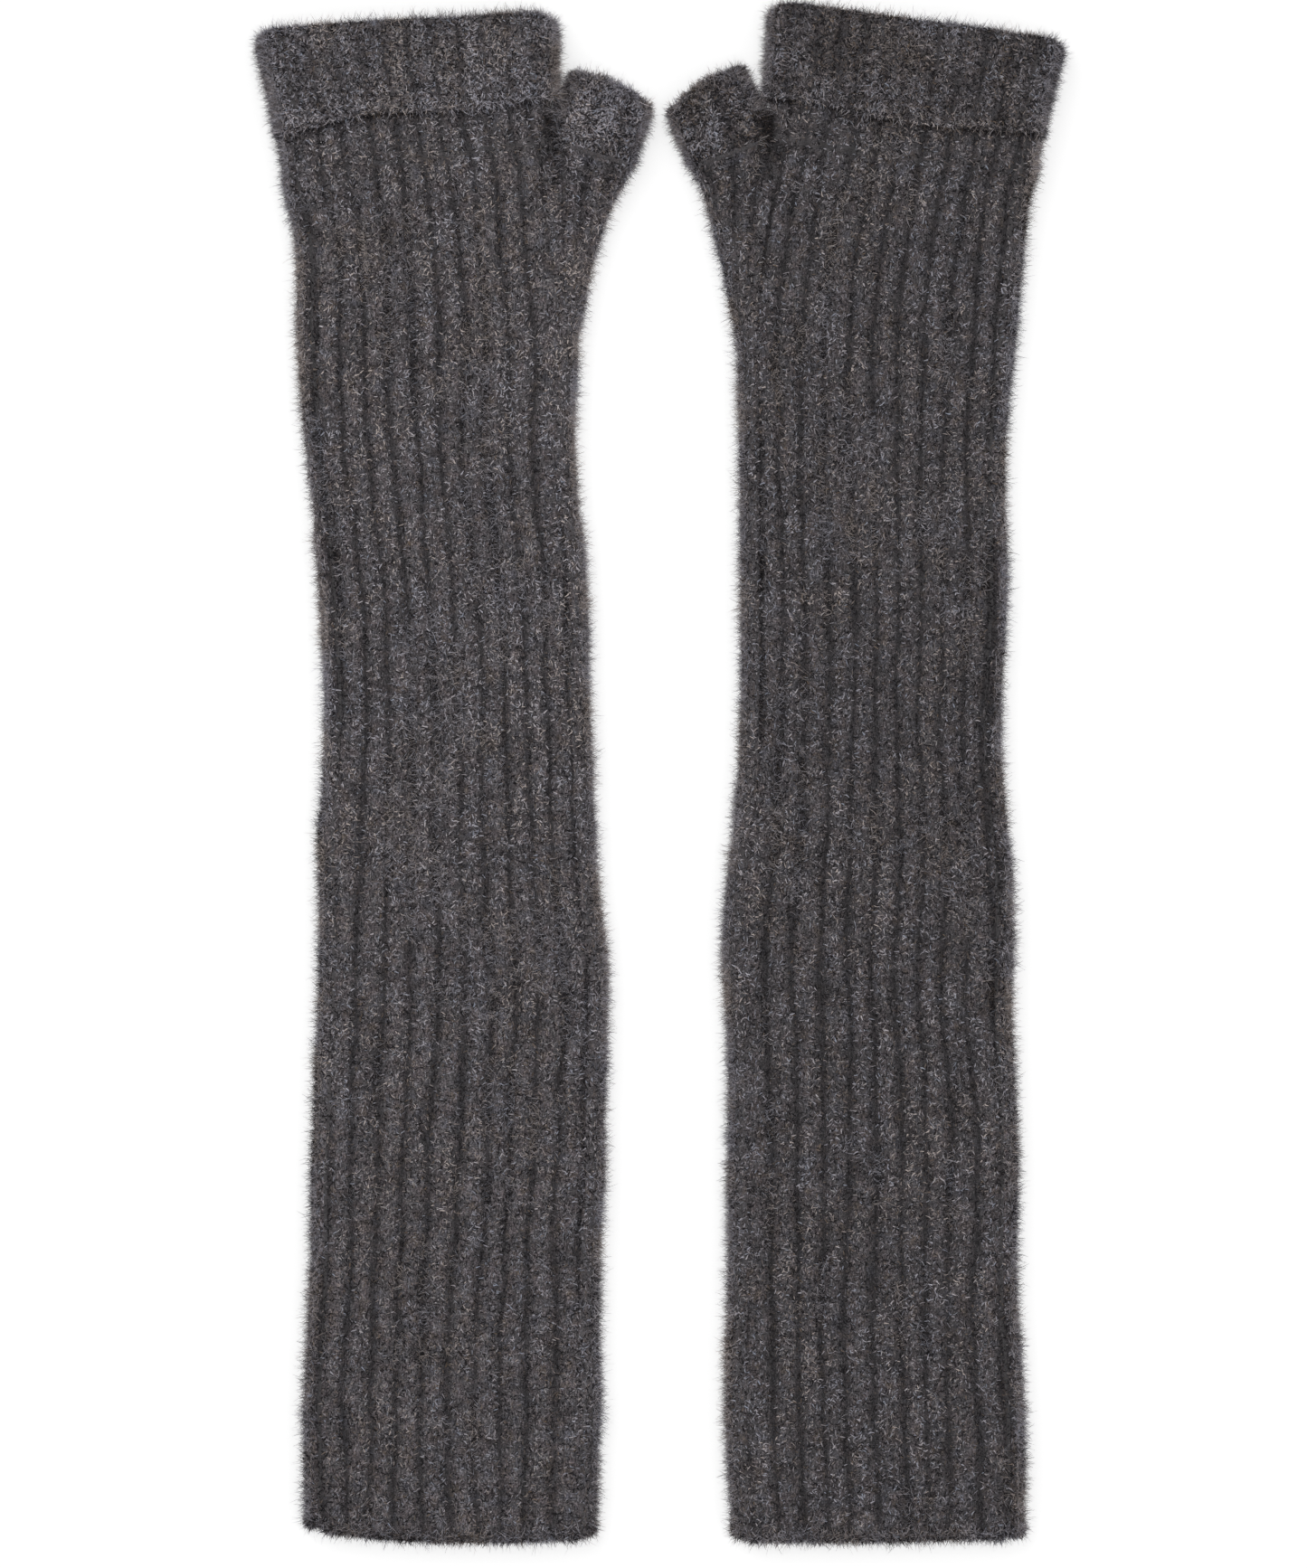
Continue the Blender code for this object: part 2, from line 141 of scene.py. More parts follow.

# How each glove lies. x is the place of its arm opening, and towards is the side of its thumb.
# Angles are in degrees. sway is the stray of the middle line in mm at the shares above, and hem is
# the bow of the cuff's lower edge in mm from the little finger to the thumb.
# light is the nap's tone from the arm to the fingers, and fold is the place of a line of painted shade
# across it, as from a fold.
GLOVES = {
    "left": {
        "x": -69.12 * MM, "towards": 1, "lean": 7.2, "splay": 23.5, "seed": 11,
        "notch": 4.5 * MM, "top_tilt": -3.6, "low_tilt": 0.6, "tip_tilt": 7.0,
        "sway": (0.0, 1.0, 3.2, 4.2, 2.2, 2.4, 1.0, -3.5, -4.0, -7.7),
        "hem": (0.0, 1.6, 2.6, 1.2, 0.2, 0.0, 0.0),
        "shade": 1.0, "cuff_shade": 0.87, "fold": 113.3 * MM,
        "light": (-0.16, -0.08, 0.04, 0.06, 0.01),
    },
    "right": {
        "x": 71.25 * MM, "towards": -1, "lean": 8.7, "splay": 29.0, "seed": 23,
        "notch": 2.0 * MM, "top_tilt": -0.8, "low_tilt": -1.5, "tip_tilt": 12.5,
        "sway": (0.0, 1.9, 2.2, 3.6, 2.8, 2.8, 1.7, 1.9, 1.0, -4.4),
        "hem": (0.0, -0.9, -1.9, -1.7, -1.2, 1.2, 0.4),
        "shade": 0.80, "cuff_shade": 0.40, "fold": 251.0 * MM,
        "light": (0.0, 0.0, 0.0, 0.0, -0.01),
    },
}

# Columns and rows of the meshes
TOP_COLUMNS = 101
UNDER_COLUMNS = 51
SIDE_COLUMNS = 15
CROTCH_COLUMNS = 5
GUSSET_COLUMNS = 45
FIRST_GUSSET = TOP_COLUMNS + CROTCH_COLUMNS
AFTER_GUSSET = FIRST_GUSSET + GUSSET_COLUMNS
ROW_STEP = 2.6 * MM
FIRST_ROW = 1.4 * MM
HAND_ROWS = 17
HAND_INSET = 3 * MM
THUMB_ROWS = 16
CUFF_ROWS = 14
CUFF_OUTSIDE_ROWS = 22
NOISE_SIZE = 64

# Length, lift as a share of length, and width of the nap's hairs
LYING_HAIR = ((0.7 * MM, 2.2 * MM), (0.05, 0.45), (0.30 * MM, 0.58 * MM))
STANDING_HAIR = ((1.0 * MM, 4.0 * MM), (0.5, 1.8), (0.08 * MM, 0.17 * MM))
RIM_HAIR = ((0.8 * MM, 3.0 * MM), (0.1, 1.5), (0.14 * MM, 0.36 * MM))
HAIR_STEPS = 3
HAIR_CURL = 0.45
HAIR_ROLL = 0.9
HAIR_ROOT = 0.12 * MM
HAIR_FLOOR = 0.3 * MM
WALL_SLOPE = 0.8
UPPER_SIDE = 3.0 * MM
UNDERSIDE_SHARE = 0.12

# Hairs in each piece of nap: on a sleeve's third, on half of its edge, and lying and standing elsewhere
SLEEVE_HAIRS = 46000
EDGE_HAIRS = 40000
HAND_HAIRS = (20000, 10000)
ARM_EDGE_HAIRS = (8000, 6000)
CUFF_HAIRS = (25000, 17000)
HEM_HAIRS = 7000
THUMB_HAIRS = (9000, 10000)
THUMB_EDGE_HAIRS = (3000, 2500)
OUTLINE_LIGHTER = 0.45
# The hem's hairs are lightened as a painted highlight on its roll.
HEM_PAINTED_HIGHLIGHT = 0.12
TIP_LIGHTER = 0.05

# Table, lamps and camera
WHITE = (1.0, 1.0, 1.0, 1.0)
FLOOR_REACH = 6.0
FLOOR_Z = -0.0006
FLOOR_GREY = 0.40
FLOOR_GLOW = 0.66
SKY_STRENGTH = 0.5
LAMPS = (
    ("key", (-0.9, 0.9, 1.9), 1.6, 17.0),
    ("fill", (1.1, -0.6, 1.9), 1.8, 10.0),
    ("over", (0.0, 0.0, 3.2), 2.4, 20.0),
)
CAMERA_PLACE = (-0.0025, -0.0048, 2.51)
CAMERA_LENS = 176.0
CAMERA_SENSOR = 36.0
CAMERA_REACH = 50.0


def smooth(value):
    """Ease from 0 to 1."""
    value = np.clip(value, 0.0, 1.0)
    return value * value * (3 - 2 * value)


def bell(value):
    """1 at 0, falling off on both sides."""
    return np.exp(-(value ** 2))


def curve(places, values, at):
    """A smooth curve through a few values."""
    places = np.asarray(places, float)
    values = np.asarray(values, float)
    slope = np.gradient(values, places)
    index = np.clip(np.searchsorted(places, at) - 1, 0, len(places) - 2)
    width = places[index + 1] - places[index]
    t = (at - places[index]) / width
    first = (1 + 2 * t) * (1 - t) ** 2 * values[index] + t * (1 - t) ** 2 * width * slope[index]
    second = t * t * (3 - 2 * t) * values[index + 1] - t * t * (1 - t) * width * slope[index + 1]
    return first + second


def unit(vectors, least=TINY):
    """Vectors made 1 long, apart from those shorter than the least."""
    return vectors / np.maximum(np.linalg.norm(vectors, axis=-1, keepdims=True), least)


class Noise:
    """Smooth seeded noise of two numbers, between -1 and 1."""

    def __init__(self, seed):
        self.grid = np.random.default_rng(seed).uniform(-1, 1, (NOISE_SIZE, NOISE_SIZE))

    def __call__(self, u, v):
        u, v = np.broadcast_arrays(np.asarray(u, float), np.asarray(v, float))
        left = np.floor(u).astype(int)
        below = np.floor(v).astype(int)
        fu = smooth(u - left)
        fv = smooth(v - below)
        low = self.row(left, below, fu)
        high = self.row(left, below + 1, fu)
        return low * (1 - fv) + high * fv

    def row(self, left, at, share):
        """Values between neighbours along one row of the grid."""
        near = self.grid[left % NOISE_SIZE, at % NOISE_SIZE]
        far = self.grid[(left + 1) % NOISE_SIZE, at % NOISE_SIZE]
        return near * (1 - share) + far * share


def turned(angle):
    """The direction at an angle from +X in plan."""
    return np.array((math.cos(angle), math.sin(angle)))


def spaced(points, count):
    """Points evenly spaced along a broken line."""
    points = np.asarray(points, float)
    steps = np.linalg.norm(np.diff(points, axis=0), axis=1)
    along = np.concatenate(([0.0], np.cumsum(steps)))
    at = np.linspace(0, along[-1], count)
    return np.stack((np.interp(at, along, points[:, 0]), np.interp(at, along, points[:, 1])), axis=1)


def resampled(ring, count):
    """A closed ring of points, evenly spaced."""
    closed = np.concatenate((ring, ring[:1]))
    along = np.concatenate(([0.0], np.cumsum(np.linalg.norm(np.diff(closed, axis=0), axis=1))))
    at = np.linspace(0, along[-1], count, endpoint=False)
    return np.stack([np.interp(at, along, closed[:, axis]) for axis in range(3)], axis=1)


def arc(centre, radius, start, end, count):
    """Points on an arc, angles in degrees."""
    angles = np.radians(np.linspace(start, end, count))
    return np.stack((centre[0] + radius * np.cos(angles), centre[1] + radius * np.sin(angles)), axis=1)


class Lay:
    """How one glove lies, in its own frame: thumb towards +X, fingers towards +Y."""

    def __init__(self, facts):
        self.towards = facts["towards"]
        self.x = facts["x"]
        self.lean = math.radians(facts["lean"])
        self.thumb_turn = self.lean - math.radians(facts["splay"])
        self.noise = Noise(facts["seed"])
        self.fine = Noise(facts["seed"] + 1)
        self.notch = facts["notch"]
        self.top_tilt = math.radians(facts["top_tilt"])
        self.low_tilt = math.radians(facts["low_tilt"])
        self.tip_tilt = math.radians(facts["tip_tilt"])
        self.hem = [bow * MM for bow in facts["hem"]]
        self.light = facts["light"]
        self.fold = facts["fold"]
        self.along = turned(self.lean + math.pi / 2)
        self.across = turned(self.lean)
        self.start = np.array((facts["sway"][-1] * MM, SLEEVE_LENGTH))
        self.thumb_along = turned(self.thumb_turn + math.pi / 2)
        self.thumb_across = turned(self.thumb_turn)
        corner = self.start + self.across * (HAND_HALF + THUMB_OUTSIDE) + self.along * THUMB_AT
        self.thumb_base = corner + self.thumb_across * (THUMB_BASE_WIDTH / 2)
        self.set_middle_line(facts["sway"])

    def set_middle_line(self, sway):
        """Knots of the middle line, with the turn, lift and half width at each."""
        self.knots = [share * SLEEVE_LENGTH for share in WIDTH_AT]
        self.middle_x = [stray * MM for stray in sway]
        self.middle_y = list(self.knots)
        self.turns = [self.lean * max(0.0, share - LEAN_FROM) for share in WIDTH_AT[:-1]] + [self.lean]
        self.lifts = [0.0] * (len(WIDTH_AT) - 1) + [0.6 * HAND_LIFT]
        self.halves = [half * MM for half in HALF_WIDTH]
        for above in (HAND_LEVEL_AT, HAND_LENGTH):
            point = self.start + self.along * above
            self.knots.append(SLEEVE_LENGTH + above)
            self.middle_x.append(point[0])
            self.middle_y.append(point[1])
            self.turns.append(self.lean)
            self.lifts.append(HAND_LIFT)
            self.halves.append(HAND_HALF)

    def at(self, s):
        """Middle, turn, half width and lift at a distance along the glove."""
        middle = np.array((curve(self.knots, self.middle_x, s), curve(self.knots, self.middle_y, s)))
        half = curve(self.knots, self.halves, s) + 0.9 * MM * float(self.noise(s * 24, 3.3))
        half += 0.4 * MM * float(self.fine(s * 95, 8.7))
        turn = float(curve(self.knots, self.turns, s))
        lift = float(curve(self.knots, self.lifts, s))
        return middle, turn, float(half), lift

    def world(self, points):
        """Points of the glove's own frame in the shared frame."""
        points = np.asarray(points, float)
        out = points.copy()
        out[..., 0] = self.x + self.towards * points[..., 0]
        out[..., 1] = ARM_Y + points[..., 1]
        return out


def flipped(points):
    """The underside's half of a profile, from its upper half."""
    return points[::-1] * (1, -1)


def side_profiles():
    """The thumb-side edge of the tube three times: plain, widened by the gusset, and split at the crotch."""
    lap = CROTCH_COLUMNS
    gusset = GUSSET_COLUMNS
    reach = RADIUS + THUMB_OUTSIDE
    outer = reach + THUMB_BASE_WIDTH
    dip = CROTCH_DIP * RADIUS
    plain = spaced(arc((0, 0), RADIUS, 90, -90, 41), 2 * lap + gusset)
    tip = arc((outer - THUMB_RADIUS, 0), THUMB_RADIUS, 90, -90, 31)
    wide_line = np.concatenate((((reach, RADIUS),), tip, ((reach, -RADIUS),)))
    wide_gusset = spaced(wide_line, gusset + 2)[1:-1]
    wide_top = spaced(((0, RADIUS), (reach, RADIUS)), lap + 1)[:-1]
    wide = np.concatenate((wide_top, wide_gusset, flipped(wide_top)))
    edge = spaced(np.concatenate((arc((0, 0), RADIUS, 90, 24, 15), ((reach, dip),))), lap + 1)[:-1]
    inner = arc((reach + THUMB_RADIUS * 0.8, 0), THUMB_RADIUS, 150, 90, 8)
    inner[:, 0] = reach + (inner[:, 0] - inner[0, 0]) * 1.2
    split_line = np.concatenate((((reach, dip),), inner, tip, flipped(inner), ((reach, -dip),)))
    split_gusset = spaced(split_line, gusset + 2)[1:-1]
    split = np.concatenate((edge, split_gusset, flipped(edge)))
    return plain, wide, split


def round_side(radius):
    """The plain rounded edge of a tube on the thumb side."""
    return arc((0, 0), radius, 90, -90, SIDE_COLUMNS + 2)[1:-1]


def closed_ring(flat, radius, side):
    """Top, thumb side, underside and little-finger side of a flattened tube, as (across, up) points."""
    top = np.stack((np.linspace(-flat, flat, TOP_COLUMNS), np.full(TOP_COLUMNS, radius)), axis=1)
    under = np.stack((np.linspace(flat, -flat, UNDER_COLUMNS), np.full(UNDER_COLUMNS, -radius)), axis=1)
    little = arc((-flat, 0), radius, 270, 90, SIDE_COLUMNS + 2)[1:-1]
    return np.concatenate((top, side + (flat, 0), under, little))


def gusset_rib_numbers():
    """Rib number at each column of the thumb side."""
    return RIBS + np.linspace(0, GUSSET_RIBS, 2 * CROTCH_COLUMNS + GUSSET_COLUMNS + 2)[1:-1]


def rib_numbers(side):
    """Rib number at each column of the ring: top, thumb side, underside, little-finger side."""
    top = np.linspace(0, RIBS, TOP_COLUMNS)
    after = RIBS + GUSSET_RIBS
    under = after + np.linspace(0, RIBS, UNDER_COLUMNS)
    little = after + RIBS + np.linspace(0, SIDE_RIBS, SIDE_COLUMNS + 2)[1:-1]
    return np.concatenate((top, side, under, little))


def plain_rib_numbers(side_columns):
    """Rib numbers of a ring without a gusset."""
    return rib_numbers(RIBS + np.linspace(0, SIDE_RIBS, side_columns + 2)[1:-1])


def rib_depth(rib):
    """Depth of the fabric's furrows: 1 in the furrow, 0 on the ridge."""
    away = np.abs(rib - np.round(rib))
    return bell(away / FURROW_WIDTH) + 0.18 * (1 - np.cos(2 * np.pi * (0.5 - away))) * 0.5


def rib_strength(lay, s, place):
    """How deep the furrows are: the nap closes them in places."""
    return RIB_DEPTH * (0.85 + 0.5 * lay.noise(place * 2.6, s * 26) + 0.3 * lay.fine(place * 5, s * 80))


def wander(lay, count, s):
    """How far the ribs stray sideways, as a share of a rib."""
    column = np.arange(count)
    return 0.22 * lay.noise(column / 20 + 40, s * 17) + 0.10 * lay.fine(column / 9, s * 60)


def furrowed(profile, rib, depth):
    """Press the furrows into a closed profile of (across, up) points."""
    ahead = np.roll(profile, -1, axis=0) - np.roll(profile, 1, axis=0)
    inward = unit(np.stack((ahead[:, 1], -ahead[:, 0]), axis=1), SMALL)
    return profile + inward * depth[:, None] * rib_depth(rib)[:, None]


def body_ring(lay, s):
    """One ring of the sleeve below the crotch, as points in the glove's frame, with each furrow's depth."""
    middle, turn, half, lift = lay.at(s)
    growth = (s - (CROTCH_AT - GUSSET_GROWTH)) / GUSSET_GROWTH
    widen = max(0.0, growth) ** GUSSET_CURVE
    groove = smooth((s - (CROTCH_AT - CROTCH_GROOVE)) / CROTCH_GROOVE)
    plain, wide, split = side_profiles()
    side = plain + (wide - plain) * widen
    side = side + (split - wide) * groove * widen
    profile = closed_ring(half - RADIUS, RADIUS, side)
    ribs = rib_numbers(gusset_rib_numbers())
    gap = np.linalg.norm(np.roll(profile, -1, axis=0) - profile, axis=1)
    count = np.abs(np.roll(ribs, -1) - ribs)
    pitch = np.where(count < 2, gap / np.maximum(count, SMALL), RIB_PITCH)
    open_share = np.clip((pitch / RIB_PITCH - 0.3) / 0.6, 0, 1)
    fade = smooth((CROTCH_AT - s) / RIB_FADE) * 0.5 + 0.5
    depth = rib_strength(lay, s, np.arange(len(profile)) / COLUMNS_A_PATCH) * open_share * fade
    ribs = ribs + wander(lay, len(ribs), s)
    shaped = furrowed(profile, ribs, depth)
    flare = FLARE * smooth((s - (CROTCH_AT - FLARE_FROM)) / FLARE_OVER)
    shaped[:, 0] -= flare * smooth(-shaped[:, 0] / half)
    beyond = np.maximum(shaped[:, 0] - half, 0.0)
    inside = np.minimum(shaped[:, 0], half)
    bend = turned(turn + (lay.thumb_turn - lay.lean) * smooth(growth))
    plan = middle + turned(turn) * inside[:, None] + bend * beyond[:, None]
    settle = smooth(beyond / (12 * MM)) * widen
    height = lift + (THUMB_LIFT - lift) * settle + RADIUS + shaped[:, 1]
    return np.concatenate((plan, height[:, None]), axis=1), rib_depth(ribs) * open_share


def arm_edge_shape(lay, points, s):
    """The arm opening isn't cut straight: it steps up beside the seam and rounds off at its corners."""
    place = points[:, 0] / ARM_HALF
    step = lay.notch * smooth((-0.78 - place) / 0.10)
    lip = lay.notch * 0.45 * smooth((-0.35 - place) / 0.45)
    corner = 2.2 * MM * smooth((place - 0.88) / 0.14)
    wave = 0.5 * MM * lay.noise(place * 2.5, 7.1)
    fade = 1 - smooth(s / (26 * MM))
    shifted = points.copy()
    shifted[:, 1] += (np.maximum(step, lip) + corner + wave) * fade
    return shifted


def sleeve_rings(lay):
    """Rings of the sleeve from the arm opening to the crotch, with the painted shade of each point in its
    furrows, by the crotch and along the seam.
    """
    rows = np.linspace(FIRST_ROW, CROTCH_AT, int(CROTCH_AT / ROW_STEP))
    rings = [body_ring(lay, s) for s in rows]
    grid = np.array([arm_edge_shape(lay, ring[0], s) for ring, s in zip(rings, rows)])
    furrow = np.array([ring[1] for ring in rings])
    # Painted shade in the crease that runs down from the crotch.
    crotch = bell((np.arange(grid.shape[1]) - FIRST_GUSSET + 1) / 3.2)
    fade = np.clip(1 - (CROTCH_AT - rows) / (20 * MM), 0, 1)
    furrow = np.maximum(furrow, CROTCH_SHADE * fade[:, None] * crotch[None, :])
    # Painted shade along the thumb's seam at the top of the gusset.
    seam_line = SEAM_SHADE * bell((CROTCH_AT - rows) / SEAM_SHADE_WIDTH)
    gusset = slice(FIRST_GUSSET, AFTER_GUSSET)
    furrow[:, gusset] = np.maximum(furrow[:, gusset], seam_line[:, None])
    return grid, furrow


def hand_ring(lay, s):
    """One ring of the hand above the crotch, with the painted shade of each point in its furrows and in the
    crease beside the thumb.
    """
    middle, turn, _, lift = lay.at(s)
    half = HAND_HALF
    above = s - SLEEVE_LENGTH - THUMB_AT
    rise = smooth(above / (5 * MM))
    split = side_profiles()[2]
    lap = CROTCH_COLUMNS
    web = spaced((split[lap], split[-lap - 1]), lap)
    shut = np.concatenate((split[:lap], web, split[-lap:]))
    round_edge = spaced(arc((0, 0), RADIUS, 90, -90, 41), 3 * lap)
    side = shut + (round_edge - shut) * rise
    profile = closed_ring(half - RADIUS, RADIUS, side)
    ribs = plain_rib_numbers(3 * lap)
    depth = rib_strength(lay, s, np.arange(len(profile)) / COLUMNS_A_PATCH) * 0.8
    ribs = ribs + wander(lay, len(ribs), s)
    shaped = furrowed(profile, ribs, depth)
    flare = FLARE * smooth((s - (CROTCH_AT - FLARE_FROM)) / FLARE_OVER)
    flare_left = smooth((SLEEVE_LENGTH + FLARE_END - s) / (8 * MM))
    shaped[:, 0] -= flare * smooth(-shaped[:, 0] / half) * flare_left
    waist = WAIST * smooth(above / (3 * MM)) * smooth((WAIST_HEIGHT - above) / (5 * MM))
    shaped[:, 0] -= waist * smooth((shaped[:, 0] / half - 0.6) / 0.4)
    # Painted shade in the crease beside the thumb, fading out upwards.
    crease = smooth((profile[:, 0] / half - 0.88) / 0.1) * smooth((12 * MM - above) / (6 * MM))
    plan = middle + turned(turn) * shaped[:, :1]
    furrow = np.maximum(rib_depth(ribs), HAND_CREASE_SHADE * crease)
    return np.concatenate((plan, (lift + RADIUS + shaped[:, 1])[:, None]), axis=1), furrow


def hand_rings(lay):
    """Rings of the hand from the crotch to the cuff's fold, with a band of painted shadow where the cuff's
    hem lies on it.
    """
    rings = [hand_ring(lay, s) for s in np.linspace(CROTCH_AT, GLOVE_LENGTH - HAND_INSET, HAND_ROWS)]
    grid = np.array([ring[0] for ring in rings])
    furrow = np.array([ring[1] for ring in rings])
    across = (grid[..., :2] - lay.start) @ lay.across
    from_hem = (grid[..., :2] - lay.start) @ lay.along - CUFF_LOW
    from_hem -= math.tan(lay.low_tilt) * across + hem_bow(lay, across)
    # A band of painted shadow just under the cuff's hem.
    return grid, np.maximum(furrow, HEM_SHADOW * bell(from_hem / (2.0 * MM)))


def thumb_profile(lay, along, half, open_columns, shut_columns, ribs):
    """The thumb tube's profile at a distance along it: ribbed outside, plain where it closes to the hand."""
    r = THUMB_RADIUS
    inner = arc((r - half, 0), r, 154, 90, 10)
    outer = arc((half - r, 0), r, 90, -90, 31)
    profile = spaced(np.concatenate((inner, outer, flipped(inner))), open_columns)
    shut = spaced(arc((r - half, 0), r, 206, 154, 9), shut_columns + 2)[1:-1]
    profile = np.concatenate((profile, shut))
    depth = rib_strength(lay, along + SLEEVE_LENGTH, np.arange(len(profile)) / THUMB_COLUMNS_A_PATCH) * 0.75
    depth[open_columns:] = 0
    return furrowed(profile, ribs, depth)


def thumb_grid(lay, ring, web):
    """Rings of the thumb tube from the crotch to its tip, with the painted shade of each point in its
    furrows, its creases and along its seam.
    """
    first = np.concatenate((ring, web[::-1]))
    local_x = (first[:, :2] - lay.thumb_base) @ lay.thumb_across
    local_y = (first[:, :2] - lay.thumb_base) @ lay.thumb_along
    ribs = gusset_rib_numbers()[CROTCH_COLUMNS:-CROTCH_COLUMNS]
    ribs = np.concatenate((ribs, np.full(len(web), ribs[-1])))
    rings = [first]
    # Painted shade where the thumb's root meets the hand.
    furrows = [THUMB_ROOT_SHADE * smooth((-2 * local_x / THUMB_BASE_WIDTH - 0.7) / 0.2)]
    for along in np.linspace(0, THUMB_LENGTH - 1.4 * MM, THUMB_ROWS)[1:]:
        share = along / THUMB_LENGTH
        half = (THUMB_BASE_WIDTH + (THUMB_TIP_WIDTH - THUMB_BASE_WIDTH) * share) / 2
        near = min(1.0, max(0.0, (along - THUMB_LENGTH + THUMB_CORNER) / THUMB_CORNER))
        half -= THUMB_CORNER_DEPTH * (1 - math.sqrt(1 - near * near))
        shift = -(0.5 + 0.75 * share) * MM
        profile = thumb_profile(lay, along, half, len(ring), len(web), ribs)
        settle = smooth(along / THUMB_SETTLE)
        x = local_x + (profile[:, 0] + shift - local_x) * settle
        inner_side = smooth(-x / half)
        x -= THUMB_INNER_BULGE * bell((along - INNER_BULGE_AT) / INNER_BULGE_AT) * inner_side
        x += THUMB_INNER_SLOPE * smooth((share - 0.45) / 0.55) * inner_side
        bow = THUMB_TIP_BOW * (1 - np.clip((x - shift) / half, -1, 1) ** 2) * smooth((share - 0.3) / 0.7)
        y = along + local_y * (1 - settle) + bow - math.tan(lay.tip_tilt) * x * share * share
        base = THUMB_LIFT * (1 - share)
        z = first[:, 2] + (base + THUMB_RADIUS + profile[:, 1] - first[:, 2]) * settle
        plan = lay.thumb_base + lay.thumb_across * x[:, None] + lay.thumb_along * y[:, None]
        rings.append(np.concatenate((plan, z[:, None]), axis=1))
        # Painted shade in the crease on the thumb's hand side and along its seam.
        hand_side = smooth((-(x - shift) / half - 0.8) / 0.2)
        crease = THUMB_CREASE_SHADE * hand_side * smooth((13 * MM - along) / (8 * MM))
        seam_line = SEAM_SHADE * bell(along / SEAM_SHADE_WIDTH)
        furrows.append(np.maximum(0.55 * rib_depth(ribs) * settle, np.maximum(crease, seam_line)))
    return np.array(rings), np.array(furrows)


def hem_bow(lay, across):
    """How far the cuff's lower edge strays from a straight line."""
    across = np.clip(across, -HAND_HALF, HAND_HALF)
    return curve(np.linspace(-HAND_HALF, HAND_HALF, len(lay.hem)), lay.hem, across)


def cuff_path():
    """The cuff's section from its hem, as (along the hand, outset in mm, openness of the furrows)."""
    low = CUFF_START
    top = HAND_LENGTH
    outside = [(low, 2.3, 0.3), (low + 1.2 * MM, 2.7, 0.6)]
    outside += [(along, CUFF_OUTSET, 1.0) for along in np.linspace(low + 3 * MM, top - 3.5 * MM, CUFF_ROWS)]
    fold = [(top - 2 * MM, CUFF_OUTSET, 0.6), (top - 0.7 * MM, 2.2, 0.3), (top, 1.2, 0.1), (top, 0.0, 0.0)]
    fold += [(top - 0.6 * MM, -1.2, 0.0), (top - 1.6 * MM, -2.1, 0.0), (top - 2.4 * MM, -1.6, 0.0)]
    inside = [(top - 2.8 * MM, 0.1, 0.0), (top - 6 * MM, 0.4, 0.0)]
    inside += [(top - 16 * MM, 0.4, 0.0), (low, 0.4, 0.0)]
    return outside + fold + inside


def cuff_grid(lay):
    """Rings of the turned-back cuff: up its outside, over the fold and down its inside."""
    ribs = plain_rib_numbers(SIDE_COLUMNS)
    rings, furrows = [], []
    for along, outset, open_share in cuff_path():
        share = (along - CUFF_LOW) / (HAND_LENGTH - CUFF_LOW)
        radius = RADIUS + outset * MM
        half = HAND_HALF + outset * MM + CUFF_FLARE * smooth(share)
        half += 0.5 * MM * float(lay.noise(along * 90, 5.2))
        profile = closed_ring(half - radius, radius, round_side(radius))
        patch = np.arange(len(profile)) / COLUMNS_A_PATCH
        depth = rib_strength(lay, along + SLEEVE_LENGTH, patch) * 0.85 * open_share
        profile = furrowed(profile, ribs, depth)
        across = profile[:, 0]
        tilt = math.tan(lay.low_tilt) * (1 - share) + math.tan(lay.top_tilt) * share
        upper = smooth(share * 2 - 1)
        corner = -CUFF_THUMB_CORNER * smooth((across / half - 0.84) / 0.18) ** 2 * upper
        corner -= CUFF_OUTER_CORNER * smooth((-across / half - 0.88) / 0.14) ** 2 * upper
        place = along + tilt * across + corner + hem_wave(lay, across)
        place = place + (1 - share) ** 2 * hem_bow(lay, across)
        ring = round_hand(lay, profile, place)
        ring[:, 2] = np.maximum(ring[:, 2], 0.0)
        rings.append(ring)
        # The furrow value is how much painted shade darkens the cuff's furrows.
        furrows.append(rib_depth(ribs) * open_share * 0.5)
    return np.array(rings), np.array(furrows)


def round_hand(lay, profile, place):
    """Points of a ring round the hand, from its profile and each point's place along the hand."""
    plan = lay.start + lay.across * profile[:, :1] + lay.along * place[:, None]
    return np.concatenate((plan, (HAND_LIFT + RADIUS + profile[:, 1])[:, None]), axis=1)


def hem_wave(lay, across):
    """Small waves in the cuff's edges."""
    return HEM_WAVE * lay.noise(across * 55, 9.4)


def cuff_low_ring(lay):
    """The line of the cuff's bound-off edge."""
    radius = RADIUS + HEM_RADIUS
    half = HAND_HALF + HEM_RADIUS
    profile = closed_ring(half - radius, radius, round_side(radius))
    across = profile[:, 0]
    place = HEM_AT + math.tan(lay.low_tilt) * across + hem_wave(lay, across) + hem_bow(lay, across)
    return resampled(round_hand(lay, profile, place), 400)


def added(name, data):
    """A new object in the scene."""
    thing = bpy.data.objects.new(name, data)
    bpy.context.scene.collection.objects.link(thing)
    return thing


